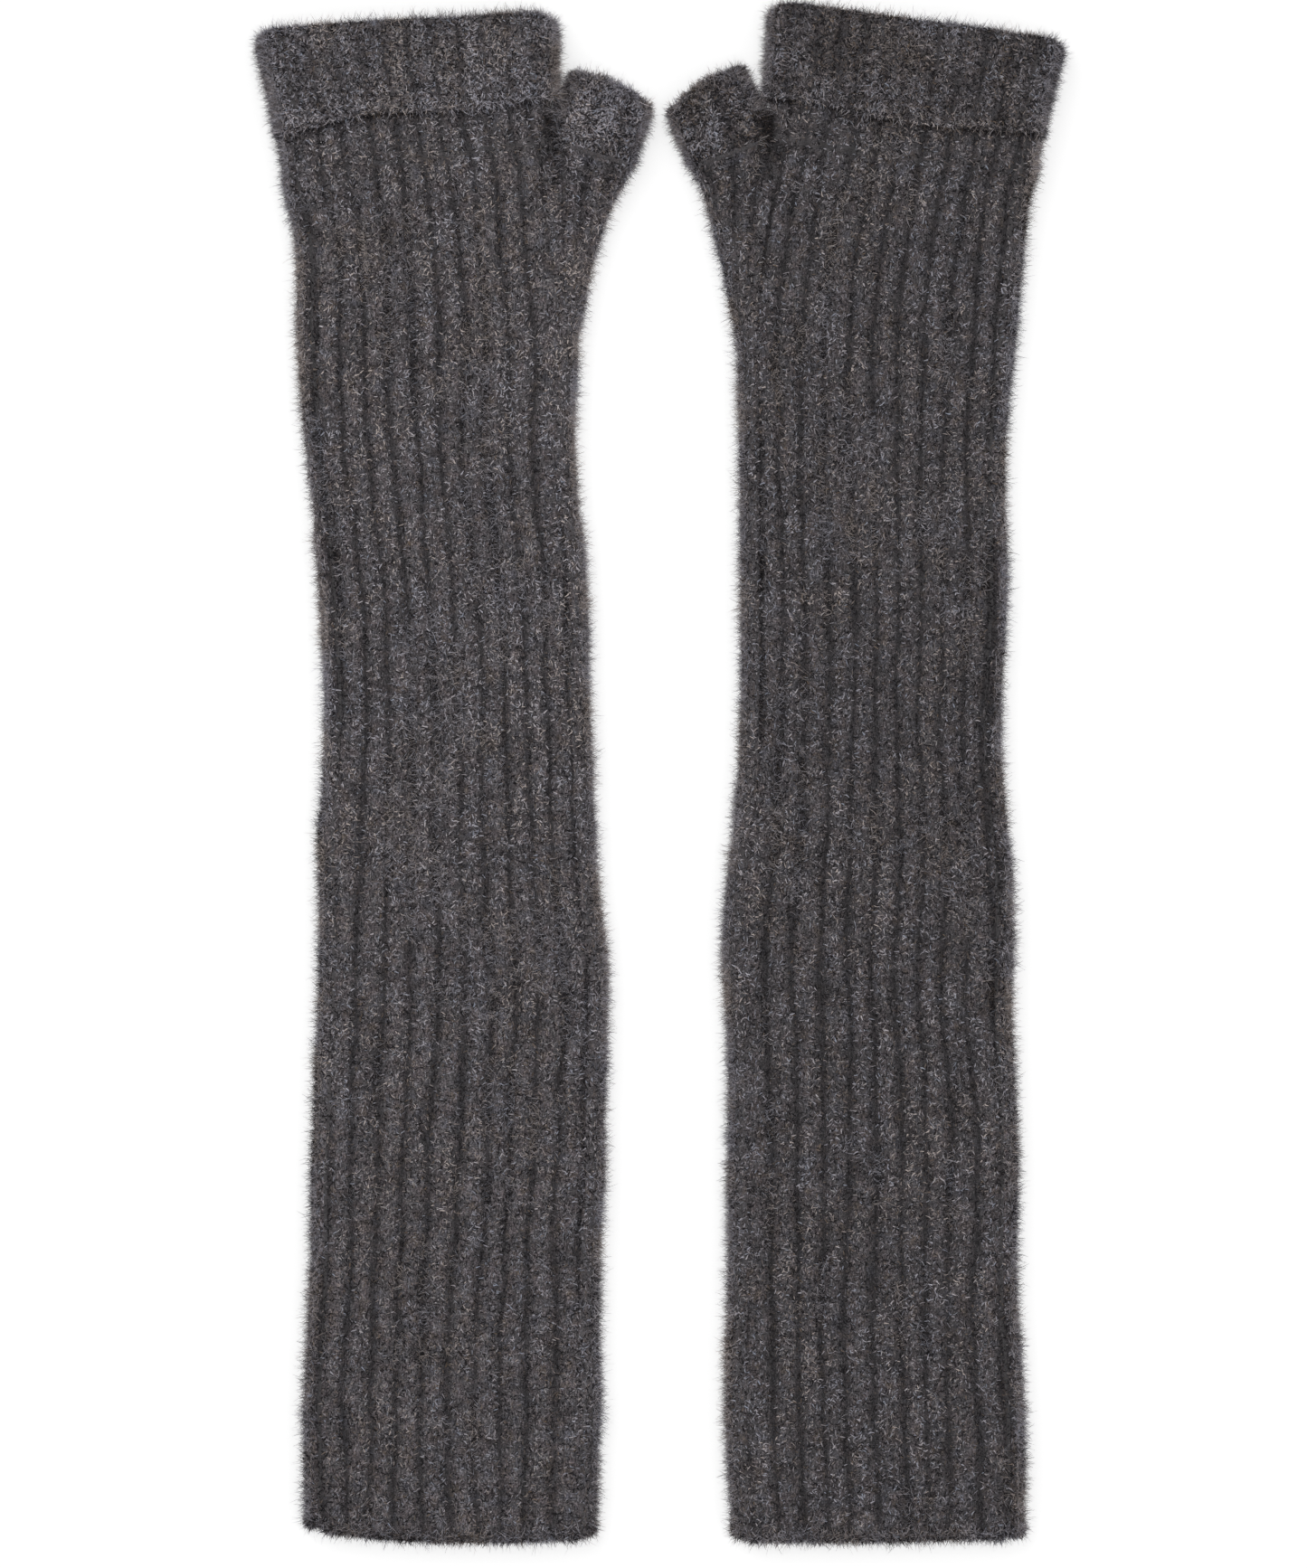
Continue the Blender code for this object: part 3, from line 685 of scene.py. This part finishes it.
def new_mesh(name, points, quads, lay, uv, furrow=None):
    """A mesh object from arrays, with a UV map and, on knit, the furrow depth of each point, which sets the
    painted shade in the furrows and creases.
    """
    points = lay.world(points)
    quads = np.asarray(quads, np.int32)
    if lay.towards < 0:
        quads = quads[:, ::-1]
    data = bpy.data.meshes.new(name)
    data.vertices.add(len(points))
    data.vertices.foreach_set("co", points.astype(np.float32).ravel())
    data.loops.add(quads.size)
    data.loops.foreach_set("vertex_index", np.ascontiguousarray(quads).ravel())
    data.polygons.add(len(quads))
    data.polygons.foreach_set("loop_start", np.arange(0, quads.size, quads.shape[1], dtype=np.int32))
    data.update(calc_edges=True)
    if furrow is not None:
        layer = data.attributes.new("furrow", "FLOAT", "POINT")
        layer.data.foreach_set("value", np.asarray(furrow, np.float32).ravel())
    layer = data.uv_layers.new(name="OFBake")
    layer.data.foreach_set("uv", np.ascontiguousarray(uv[quads.ravel()]).astype(np.float32).ravel())
    data.validate()
    data.shade_smooth()
    return added(name, data)


def tube_quads(rows, columns, start=0):
    """Quads between following rings of a closed tube."""
    row, column = np.meshgrid(np.arange(rows - 1), np.arange(columns), indexing="ij")
    ahead = (column + 1) % columns
    first = start + row * columns
    corners = (first + column, first + ahead, first + columns + ahead, first + columns + column)
    return np.stack(corners, axis=-1).reshape(-1, 4)


def bridge_quads(low, high):
    """Quads between two closed rings, given as point numbers."""
    return np.stack((low, np.roll(low, -1), np.roll(high, -1), high), axis=1)


def grid_uv(rows, columns):
    """Even UVs over a grid of rings."""
    v, u = np.meshgrid(np.linspace(0.003, 0.997, rows), np.linspace(0.003, 0.997, columns), indexing="ij")
    return np.stack((u, v), axis=-1).reshape(-1, 2)


def thicken(thing):
    """Give a knitted surface the fabric's thickness, inwards."""
    modifier = thing.modifiers.new("fabric", "SOLIDIFY")
    modifier.thickness = FABRIC
    modifier.offset = -1


def ramp(nodes, stops):
    """A colour ramp with the given stops."""
    node = nodes.new("ShaderNodeValToRGB")
    elements = node.color_ramp.elements
    while len(elements) < len(stops):
        elements.new(0.5)
    for element, (place, colour) in zip(elements, stops):
        element.position = place
        element.color = (*colour, 1.0)
    return node


def multiplied(nodes, links, first, second):
    """The product of two colour sockets."""
    mix = nodes.new("ShaderNodeMix")
    mix.data_type = "RGBA"
    mix.blend_type = "MULTIPLY"
    mix.inputs["Factor"].default_value = 1.0
    links.new(first, mix.inputs["A"])
    links.new(second, mix.inputs["B"])
    return mix.outputs["Result"]


def new_material(name, settings):
    """A new material with its nodes, links and shader, and some of the shader's inputs set."""
    material = bpy.data.materials.new(name)
    material.use_nodes = True
    nodes, links = material.node_tree.nodes, material.node_tree.links
    shader = nodes["Principled BSDF"]
    for key, value in settings.items():
        shader.inputs[key].default_value = value
    return material, nodes, links, shader


def uv_socket(nodes):
    """The UV map that every piece has."""
    coords = nodes.new("ShaderNodeUVMap")
    coords.uv_map = "OFBake"
    return coords.outputs["UV"]


def math_node(nodes, links, operation, *values):
    """A calculation on numbers and sockets."""
    node = nodes.new("ShaderNodeMath")
    node.operation = operation
    for socket, value in zip(node.inputs, values):
        if isinstance(value, (int, float)):
            socket.default_value = value
        else:
            links.new(value, socket)
    return node.outputs["Value"]


def knit_material(name, scale, light):
    """Heathered charcoal wool: mottled yarn, a felted grain, painted shade in the furrows and creases, and a
    soft sheen.
    """
    material, nodes, links, shader = new_material(name, {
        "Roughness": 0.95, "Specular IOR Level": 0.15,
        "Sheen Weight": 0.25, "Sheen Roughness": 0.6, "Sheen Tint": (0.75, 0.72, 0.74, 1.0),
    })
    size = nodes.new("ShaderNodeMapping")
    size.inputs["Scale"].default_value = (*scale, 1.0)
    links.new(uv_socket(nodes), size.inputs["Vector"])

    def noise(frequency, detail, stretch=None):
        node = nodes.new("ShaderNodeTexNoise")
        node.inputs["Scale"].default_value = frequency
        node.inputs["Detail"].default_value = detail
        node.inputs["Roughness"].default_value = 0.62
        place = size.outputs["Vector"]
        if stretch is not None:
            turn = nodes.new("ShaderNodeMapping")
            turn.inputs["Rotation"].default_value = (0, 0, math.radians(stretch[1]))
            turn.inputs["Scale"].default_value = (1.0, stretch[0], 1.0)
            links.new(place, turn.inputs["Vector"])
            place = turn.outputs["Vector"]
        links.new(place, node.inputs["Vector"])
        return node.outputs["Fac"]

    def combine(operation, first, second):
        return math_node(nodes, links, operation, first, second)

    patches = noise(0.11, 3.0)
    flecks = noise(0.8, 3.0, (0.45, 12))
    fibres = combine("MAXIMUM", noise(2.4, 2.0, (0.22, 38)), noise(2.4, 2.0, (0.22, -47)))
    grain = noise(1.7, 3.0)
    weights = ((patches, 0.5, 0.5), (flecks, 0.5, 0.6), (fibres, 0.56, 1.1), (grain, 0.5, 1.3))
    tone = 0.5
    for value, middle, weight in weights:
        part = combine("MULTIPLY", combine("SUBTRACT", value, middle), weight)
        tone = combine("ADD", part, tone)
    wool = (
        (0.20, (0.013, 0.011, 0.013)), (0.44, (0.052, 0.048, 0.050)),
        (0.60, (0.118, 0.108, 0.113)), (0.88, (0.31, 0.288, 0.298)),
    )
    shade = ramp(nodes, [(place, [part * light for part in colour]) for place, colour in wool])
    links.new(tone, shade.inputs["Fac"])
    hue = ramp(nodes, (
        (0.32, (0.93, 0.97, 1.10)), (0.46, (1.0, 1.0, 1.0)),
        (0.56, (1.06, 0.98, 1.02)), (0.70, (1.14, 1.0, 0.84)),
    ))
    links.new(noise(0.19, 2.0), hue.inputs["Fac"])
    heather = multiplied(nodes, links, shade.outputs["Color"], hue.outputs["Color"])
    # Painted shade: the furrow attribute darkens the furrows and creases.
    furrow = nodes.new("ShaderNodeAttribute")
    furrow.attribute_name = "furrow"
    painted_shade = nodes.new("ShaderNodeMix")
    painted_shade.data_type = "RGBA"
    painted_shade.blend_type = "MULTIPLY"
    painted_shade.inputs["B"].default_value = (0.42, 0.42, 0.43, 1.0)
    links.new(furrow.outputs["Fac"], painted_shade.inputs["Factor"])
    links.new(heather, painted_shade.inputs["A"])
    links.new(painted_shade.outputs["Result"], shader.inputs["Base Color"])
    bump = nodes.new("ShaderNodeBump")
    bump.inputs["Strength"].default_value = 1.0
    bump.inputs["Distance"].default_value = 0.7 * MM
    links.new(tone, bump.inputs["Height"])
    links.new(bump.outputs["Normal"], shader.inputs["Normal"])
    return material


def fibre_material():
    """Loose wool hairs. A hair's place in the UV map is its tone across, and its tint and length up."""
    settings = {"Roughness": 0.8, "Specular IOR Level": 0.25}
    material, nodes, links, shader = new_material("wool_hairs", settings)
    parts = nodes.new("ShaderNodeSeparateXYZ")
    links.new(uv_socket(nodes), parts.inputs["Vector"])
    shade = ramp(nodes, (
        (0.0, (0.005, 0.004, 0.005)), (0.32, (0.016, 0.013, 0.015)), (0.48, (0.066, 0.059, 0.062)),
        (0.54, (0.128, 0.099, 0.077)), (0.62, (0.190, 0.175, 0.182)), (0.76, (0.272, 0.250, 0.260)),
        (0.80, (0.258, 0.274, 0.312)), (0.90, (0.336, 0.311, 0.321)), (1.0, (0.44, 0.413, 0.426)),
    ))
    links.new(parts.outputs["X"], shade.inputs["Fac"])
    thirds = math_node(nodes, links, "MULTIPLY", parts.outputs["Y"], 3.0)
    tip = ramp(nodes, ((0.0, (0.72, 0.72, 0.72)), (1.0, (1.12, 1.12, 1.12))))
    links.new(math_node(nodes, links, "FRACT", thirds), tip.inputs["Fac"])
    tint = ramp(nodes, ((0.0, (0.95, 0.98, 1.06)), (0.3334, (1.01, 1.0, 1.02)), (0.6667, (1.08, 1.0, 0.91))))
    tint.color_ramp.interpolation = "CONSTANT"
    links.new(parts.outputs["Y"], tint.inputs["Fac"])
    colour = multiplied(nodes, links, shade.outputs["Color"], tip.outputs["Color"])
    colour = multiplied(nodes, links, colour, tint.outputs["Color"])
    links.new(colour, shader.inputs["Base Color"])
    return material


def between(limits, share):
    """Values between two limits, as a column."""
    return (limits[0] + (limits[1] - limits[0]) * share)[:, None]


def top_side(grid):
    """Most of the nap is on the upper side and round the edges."""
    return np.where(grid[..., 2] > UPPER_SIDE, 1.0, UNDERSIDE_SHARE)


def side_wall(grid):
    """The walls of a tube, where the nap stands out against the table."""
    right = np.roll(grid, -1, axis=1) - np.roll(grid, 1, axis=1)
    normal = unit(np.cross(right, np.gradient(grid, axis=0)))
    return (np.abs(normal[..., 2]) < WALL_SLOPE) * top_side(grid)


def hairs(grid, colour, count, rng, style, where, lighter=0.0):
    """Loose fibres on a grid of rings: short curled ribbons in all directions, and their UVs."""
    length, lift, width = style
    tone, tint = colour
    right = np.roll(grid, -1, axis=1) - grid
    up = np.zeros_like(grid)
    up[:-1] = grid[1:] - grid[:-1]
    up[-1] = up[-2]
    area = np.linalg.norm(np.cross(right, up), axis=2)
    area[-1] = 0
    area = area * where(grid)
    share = np.cumsum(area.ravel())
    pick = np.searchsorted(share, rng.uniform(0, share[-1], count))
    row, column = np.unravel_index(np.minimum(pick, area.size - 1), area.shape)
    right, up = right[row, column], up[row, column]
    root = grid[row, column] + right * rng.uniform(0, 1, count)[:, None]
    root = root + up * rng.uniform(0, 1, count)[:, None]
    normal = unit(np.cross(right, up))
    side = unit(right)
    heading = rng.uniform(0, 2 * np.pi, count)[:, None]
    flat = side * np.cos(heading) + np.cross(normal, side) * np.sin(heading)
    sideways = np.cross(normal, flat)
    long = between(length, rng.uniform(0, 1, count) ** 1.6)
    raised = between(lift, rng.uniform(0, 1, count) ** 2)
    curl = rng.uniform(-HAIR_CURL, HAIR_CURL, count)[:, None]
    thin = between(width, rng.uniform(0, 1, count))
    roll = rng.uniform(-HAIR_ROLL, HAIR_ROLL, count)[:, None]
    edge = sideways * np.cos(roll) + normal * np.sin(roll)
    points = np.empty((count, HAIR_STEPS, 2, 3))
    for step in range(HAIR_STEPS):
        t = step / (HAIR_STEPS - 1)
        spine = root - normal * HAIR_ROOT + flat * long * t * (1 - 0.25 * raised * t)
        spine = spine + normal * long * (raised * t - 0.25 * raised * t * t) + sideways * long * curl * t * t
        spine[:, 2] = np.maximum(spine[:, 2], HAIR_FLOOR)
        half = thin * (0.5 - 0.36 * t * t)
        points[:, step, 0] = spine - edge * half
        points[:, step, 1] = spine + edge * half
    mixed = rng.uniform(-1, 1, count)
    spread = 0.5 * np.sign(mixed) * np.abs(mixed) ** 0.42
    hue = np.clip(0.5 + spread + tone[row, column] + lighter, 0.002, 0.996)
    band = np.digitize(tint[row, column] + rng.normal(0, 0.3, count), (-0.3, 0.3))
    uv = np.empty((count, HAIR_STEPS, 2, 2))
    uv[..., 0] = hue[:, None, None] + np.array((0.0, 0.002))[None, None, :]
    uv[..., 1] = (band[:, None, None] + np.linspace(0.04, 0.96, HAIR_STEPS)[None, :, None]) / 3
    return points, uv


def coat(grid, colour, counts, rng, style, lighter=0.0):
    """Two lots of hairs on a grid: one over its upper side and one standing on its walls."""
    upper, standing = counts
    return [
        hairs(grid, colour, upper, rng, style, top_side, lighter),
        hairs(grid, colour, standing, rng, STANDING_HAIR, side_wall, OUTLINE_LIGHTER),
    ]


def nap(name, lay, tufts, material):
    """One piece of nap made of several lots of hairs."""
    points = np.concatenate([tuft[0] for tuft in tufts])
    uv = np.concatenate([tuft[1] for tuft in tufts])
    first = np.arange(len(points))[:, None] * HAIR_STEPS * 2
    quads = []
    for step in range(HAIR_STEPS - 1):
        low = first + step * 2
        quads.append(np.concatenate((low, low + 1, low + 3, low + 2), axis=1))
    thing = new_mesh(name, points.reshape(-1, 3), np.concatenate(quads), lay, uv.reshape(-1, 2))
    thing.data.materials.append(material)
    return thing


def nap_tone(lay, grid, furrow, shade):
    """How light and how warm the nap is at each place: heathered in patches, with painted shade in the
    furrows and creases and along the fold.
    """
    x, y = grid[..., 0], grid[..., 1]
    patches = 0.15 * lay.noise(x * 150 + 7, y * 110) + 0.08 * lay.fine(x * 420, y * 300 + 3)
    broken = 0.8 + 0.6 * lay.noise(x * 260, y * 45 + 11) + 0.3 * np.clip(np.abs(x) / (45 * MM), 0, 1) ** 3
    broken *= 0.70 + 0.30 * smooth(y / (80 * MM))
    place = np.clip(y / GLOVE_LENGTH, 0, 1)
    light = curve(np.linspace(0, 1, len(lay.light)), lay.light, place)
    # A line of painted shade across the nap, as a fold would cast.
    fold = bell((y - lay.fold - 0.06 * x) / (1.5 * MM)) * smooth((x + 25 * MM) / (30 * MM))
    # The furrows and creases get painted shade, broken up in patches, weaker near the arm opening and
    # stronger towards the sides.
    tone = patches + light - 0.12 * fold - 0.62 * furrow * broken + 0.35 * (shade - 1.0) + 0.025
    return tone, 0.8 * lay.fine(x * 120 + 31, y * 85)


def make_cord(side, part, body, lay, path, radius, material, closed=True):
    """A yarn cord with small stitch bumps, in place of one edge or seam of the CAD model, and its rings."""
    path = np.asarray(path)
    if closed:
        ahead = np.roll(path, -1, axis=0) - np.roll(path, 1, axis=0)
    else:
        ahead = np.gradient(path, axis=0)
    ahead = unit(ahead)
    first = unit(np.cross(ahead, (0.0, 0.0, 1.0)), SMALL)
    second = np.cross(first, ahead)
    angle = np.linspace(0, 2 * np.pi, CORD_SIDES, endpoint=False)[None, :, None]
    count = len(path)
    swell = 1 + STITCH_SWELL * np.sin(np.arange(count) * 2 * np.pi / STITCH_POINTS)
    reach = (radius * swell)[:, None, None]
    rings = path[:, None] + reach * (first[:, None] * np.cos(angle) + second[:, None] * np.sin(angle))
    quads = tube_quads(count, CORD_SIDES)
    if closed:
        start = np.arange(CORD_SIDES)
        quads = np.concatenate((quads, bridge_quads((count - 1) * CORD_SIDES + start, start)))
    around = np.meshgrid(np.arange(count) / count, np.arange(CORD_SIDES) / CORD_SIDES, indexing="ij")
    uv = np.stack(around, axis=-1).reshape(-1, 2)
    furrow = np.zeros(count * CORD_SIDES)
    thing = new_mesh(f"{side}_{part}_knit", rings.reshape(-1, 3), quads[:, ::-1], lay, uv, furrow)
    thing.data.materials.append(material)
    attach(thing, f"{side}_{body}")
    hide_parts(f"{side}_{part}")
    return np.concatenate((rings, rings[:1]))[:, ::-1]


def arm_edge_path(ring):
    """The cast-on edge round the arm opening, drawn in a little at its ends."""
    arm = resampled(ring, 380)
    middle = arm.mean(axis=0)
    inward = middle[0] - arm[:, 0]
    pull = np.clip(np.abs(inward) / (44 * MM) - 0.9, 0, 0.1) * 10
    arm[:, 2] += (middle[2] - arm[:, 2]) * 0.2
    arm[:, 0] += np.sign(inward) * pull * 1.1 * MM
    return arm


def thumb_edge_path(ring):
    """The bound-off edge round the thumb opening."""
    tip = ring.copy()
    tip[:, 2] += (tip[:, 2].mean() - tip[:, 2]) * 0.2
    return resampled(tip, 120)


def thumb_seam_path(ring):
    """The seam round the thumb's root, just inside it."""
    return resampled(ring + (ring.mean(axis=0) - ring) * 0.06, 110)


def side_seam_path(lay):
    """The seam inside the little-finger side."""
    seam = []
    for s in np.linspace(SIDE_SEAM_MARGIN, GLOVE_LENGTH - SIDE_SEAM_MARGIN, 220):
        middle, turn, half, lift = lay.at(s)
        place = middle - turned(turn) * (half - FABRIC - SIDE_SEAM_INSET)
        seam.append((*place, lift + RADIUS))
    return seam


def declare_sheet(thing, material):
    """Wool for one knitted sheet, which lies on the floor."""
    thing.data.materials.append(material)


def make_body(side, lay, sleeve, hand, web, material):
    """Sleeve and hand, one tube that parts from the thumb at the crotch."""
    grid, furrow = sleeve
    hand_grid, hand_furrow = hand[0][1:], hand[1][1:]
    rows, columns = grid.shape[:2]
    hand_rows, hand_columns = hand_grid.shape[:2]
    web_start = rows * columns
    hand_start = web_start + len(web)
    last = (rows - 1) * columns + np.arange(columns)
    across_web = web_start + np.arange(len(web))
    joint = np.concatenate((last[:FIRST_GUSSET + 1], across_web, last[AFTER_GUSSET - 1:]))
    quads = np.concatenate((
        tube_quads(rows, columns),
        bridge_quads(joint, hand_start + np.arange(hand_columns)),
        tube_quads(hand_rows, hand_columns, hand_start),
    ))
    points = np.concatenate((grid.reshape(-1, 3), web, hand_grid.reshape(-1, 3)))
    furrows = np.concatenate((furrow.ravel(), np.zeros(len(web)), hand_furrow.ravel()))
    sleeve_uv = grid_uv(rows, columns) * (1.0, 0.9)
    web_uv = np.stack((np.linspace(0.5, 0.52, len(web)), np.full(len(web), 0.9)), axis=1)
    hand_uv = grid_uv(hand_rows, hand_columns) * (1.0, 0.095) + (0.0, 0.903)
    uv = np.concatenate((sleeve_uv, web_uv, hand_uv))
    body = new_mesh(f"{side}_body_knit", points, quads, lay, uv, furrows)
    thicken(body)
    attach(body, f"{side}_glove")
    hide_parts(f"{side}_sleeve", f"{side}_hand")
    declare_sheet(body, material)


def make_thumb(side, lay, rings, furrow, material):
    """The thumb tube, shaped to turn out of the glove over its first few millimetres."""
    rows, columns = rings.shape[:2]
    quads = tube_quads(rows, columns)
    uv = grid_uv(rows, columns)
    thumb = new_mesh(f"{side}_thumb_knit", rings.reshape(-1, 3), quads, lay, uv, furrow)
    thicken(thumb)
    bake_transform(thumb)
    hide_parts(f"{side}_thumb")
    declare_sheet(thumb, material)


def make_cuff(side, lay, rings, furrow, material):
    """The turned-back cuff, a closed ring of fabric over the hand's end."""
    rows, columns = rings.shape[:2]
    lower = np.arange(columns)
    quads = np.concatenate((tube_quads(rows, columns), bridge_quads((rows - 1) * columns + lower, lower)))
    uv = grid_uv(rows, columns)
    cuff = new_mesh(f"{side}_cuff_knit", rings.reshape(-1, 3), quads, lay, uv, furrow)
    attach(cuff, f"{side}_cuff")
    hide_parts(f"{side}_cuff")
    declare_sheet(cuff, material)


def sleeve_naps(side, lay, rng, grid, colour, hair):
    """Lying hairs over the sleeve in thirds, then standing hairs along its edges in halves."""
    tone, tint = colour
    rows = len(grid)
    third = rows // 3
    half = rows // 2
    lying = (SLEEVE_HAIRS, rng, LYING_HAIR, top_side)
    standing = (EDGE_HAIRS, rng, STANDING_HAIR, side_wall, OUTLINE_LIGHTER)
    thirds = (slice(0, third + 1), slice(third, 2 * third + 1), slice(2 * third, rows))
    halves = (slice(0, half + 1), slice(half, rows))
    for name, parts, style in (("sleeve", thirds, lying), ("edge", halves, standing)):
        for index, part in enumerate(parts):
            tufts = [hairs(grid[part], (tone[part], tint[part]), *style)]
            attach(nap(f"{side}_{name}_nap_{index + 1}", lay, tufts, hair), f"{side}_glove")


def make_glove(side, facts, materials):
    """All the pieces of one glove."""
    lay = Lay(facts)
    rng = np.random.default_rng(facts["seed"] + 100)
    sleeve, sleeve_furrow = sleeve_rings(lay)
    hand, hand_furrow = hand_rings(lay)
    web = hand[0, FIRST_GUSSET + 1:FIRST_GUSSET + CROTCH_COLUMNS - 1]
    thumb, thumb_furrow = thumb_grid(lay, sleeve[-1, FIRST_GUSSET:AFTER_GUSSET], web)
    cuff, cuff_furrow = cuff_grid(lay)
    bend_end = lay.thumb_base + lay.thumb_along * THUMB_BEND
    bend = [tuple(lay.world(np.array((*end, RADIUS)))) for end in (lay.thumb_base, bend_end)]
    make_body(side, lay, (sleeve, sleeve_furrow), (hand, hand_furrow), web, materials["body"])
    make_thumb(side, lay, thumb, thumb_furrow, materials["thumb"])
    make_cuff(side, lay, cuff, cuff_furrow, materials["cuff"])

    def edge(part, body, path, radius, closed=True):
        return make_cord(side, part, body, lay, path, radius, materials["yarn"], closed)

    arm_cord = edge("arm_edge", "glove", arm_edge_path(sleeve[0]), ARM_EDGE_RADIUS)
    hem_cord = edge("cuff_edge", "cuff", cuff_low_ring(lay), HEM_RADIUS)
    tip_cord = edge("thumb_edge", "thumb", thumb_edge_path(thumb[-1]), THUMB_EDGE_RADIUS)
    edge("thumb_seam", "glove", thumb_seam_path(thumb[0]), THUMB_SEAM_RADIUS)
    edge("side_seam", "glove", side_seam_path(lay), SIDE_SEAM_RADIUS, closed=False)

    def colour(grid, furrow=0.0, shade=facts["shade"]):
        return nap_tone(lay, grid, furrow, shade)

    hair = materials["hair"]
    sleeve_naps(side, lay, rng, sleeve, colour(sleeve, sleeve_furrow), hair)
    tufts = coat(hand, colour(hand, hand_furrow), HAND_HAIRS, rng, LYING_HAIR)
    tufts += coat(arm_cord, colour(arm_cord), ARM_EDGE_HAIRS, rng, RIM_HAIR)
    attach(nap(f"{side}_hand_nap", lay, tufts, hair), f"{side}_glove")
    cuff_colour = colour(cuff, cuff_furrow, facts["cuff_shade"])
    tufts = coat(cuff[:CUFF_OUTSIDE_ROWS], cuff_colour, CUFF_HAIRS, rng, LYING_HAIR)
    # The hem's hairs get a painted highlight all over the roll and painted shadow on the side that faces the
    # arm, under the roll.
    facing = (hem_cord.mean(axis=1, keepdims=True) - hem_cord)[..., :2] @ lay.along / HEM_RADIUS
    hem_colour_and_shadow = colour(hem_cord, 0.9 * smooth((facing - 0.1) / 0.7))
    tufts.append(hairs(hem_cord, hem_colour_and_shadow, HEM_HAIRS, rng, RIM_HAIR, top_side, HEM_PAINTED_HIGHLIGHT))
    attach(nap(f"{side}_cuff_nap", lay, tufts, hair), f"{side}_cuff")
    tufts = coat(thumb, colour(thumb, thumb_furrow), THUMB_HAIRS, rng, LYING_HAIR)
    tufts += coat(tip_cord, colour(tip_cord), THUMB_EDGE_HAIRS, rng, RIM_HAIR, TIP_LIGHTER)
    thumb_nap = nap(f"{side}_thumb_nap", lay, tufts, hair)
    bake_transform(thumb_nap)


def make_floor():
    """A plain white table that keeps a soft shadow."""
    data = bpy.data.meshes.new("floor")
    corners = [(x * FLOOR_REACH, y * FLOOR_REACH, 0) for x, y in ((-1, -1), (1, -1), (1, 1), (-1, 1))]
    data.from_pydata(corners, [], [(0, 1, 2, 3)])
    floor = added("floor", data)
    floor.location.z = FLOOR_Z
    material, nodes, links, shader = new_material("white_table", {
        "Base Color": (FLOOR_GREY, FLOOR_GREY, FLOOR_GREY, 1.0), "Roughness": 0.9, "Emission Color": WHITE,
    })
    seen = nodes.new("ShaderNodeLightPath").outputs["Is Camera Ray"]
    links.new(math_node(nodes, links, "MULTIPLY", seen, FLOOR_GLOW), shader.inputs["Emission Strength"])
    floor.data.materials.append(material)
    return floor


def make_lamps():
    """Soft light from above."""
    lamps = []
    for name, place, size, power in LAMPS:
        light = bpy.data.lights.new(name, "AREA")
        light.size = size
        light.energy = power
        lamp = added(name, light)
        lamp.location = place
        lamp.rotation_euler = (-Vector(place)).to_track_quat("-Z", "Y").to_euler()
        lamps.append(lamp)
    return lamps


def make_sky():
    """An even white surround, half as strong for the light as for the eye."""
    world = bpy.data.worlds.new("studio")
    bpy.context.scene.world = world
    world.use_nodes = True
    nodes, links = world.node_tree.nodes, world.node_tree.links
    background = nodes["Background"]
    background.inputs["Color"].default_value = WHITE
    seen = nodes.new("ShaderNodeLightPath").outputs["Is Camera Ray"]
    strength = math_node(nodes, links, "MULTIPLY_ADD", seen, 1.0 - SKY_STRENGTH, SKY_STRENGTH)
    links.new(strength, background.inputs["Strength"])


def make_camera():
    """The camera straight over the pair."""
    camera = bpy.data.cameras.new("camera")
    camera.lens = CAMERA_LENS
    camera.sensor_width = CAMERA_SENSOR
    camera.clip_end = CAMERA_REACH
    eye = added("camera", camera)
    eye.location = CAMERA_PLACE
    bpy.context.scene.camera = eye
    bpy.context.scene.view_settings.view_transform = "Standard"


def main():
    """Both gloves on their table."""
    hair = fibre_material()
    for side, facts in GLOVES.items():
        light = facts["shade"]
        materials = {
            "body": knit_material(f"{side}_wool_knit", (188.0, 500.0), light),
            "cuff": knit_material(f"{side}_wool_cuff", (205.0, 80.0), light),
            "thumb": knit_material(f"{side}_wool_thumb", (58.0, 24.0), light),
            "yarn": knit_material(f"{side}_wool_yarn", (200.0, 9.0), light),
            "hair": hair,
        }
        make_glove(side, facts, materials)
    floor = make_floor()
    lamps = make_lamps()
    make_sky()
    make_camera()


main()
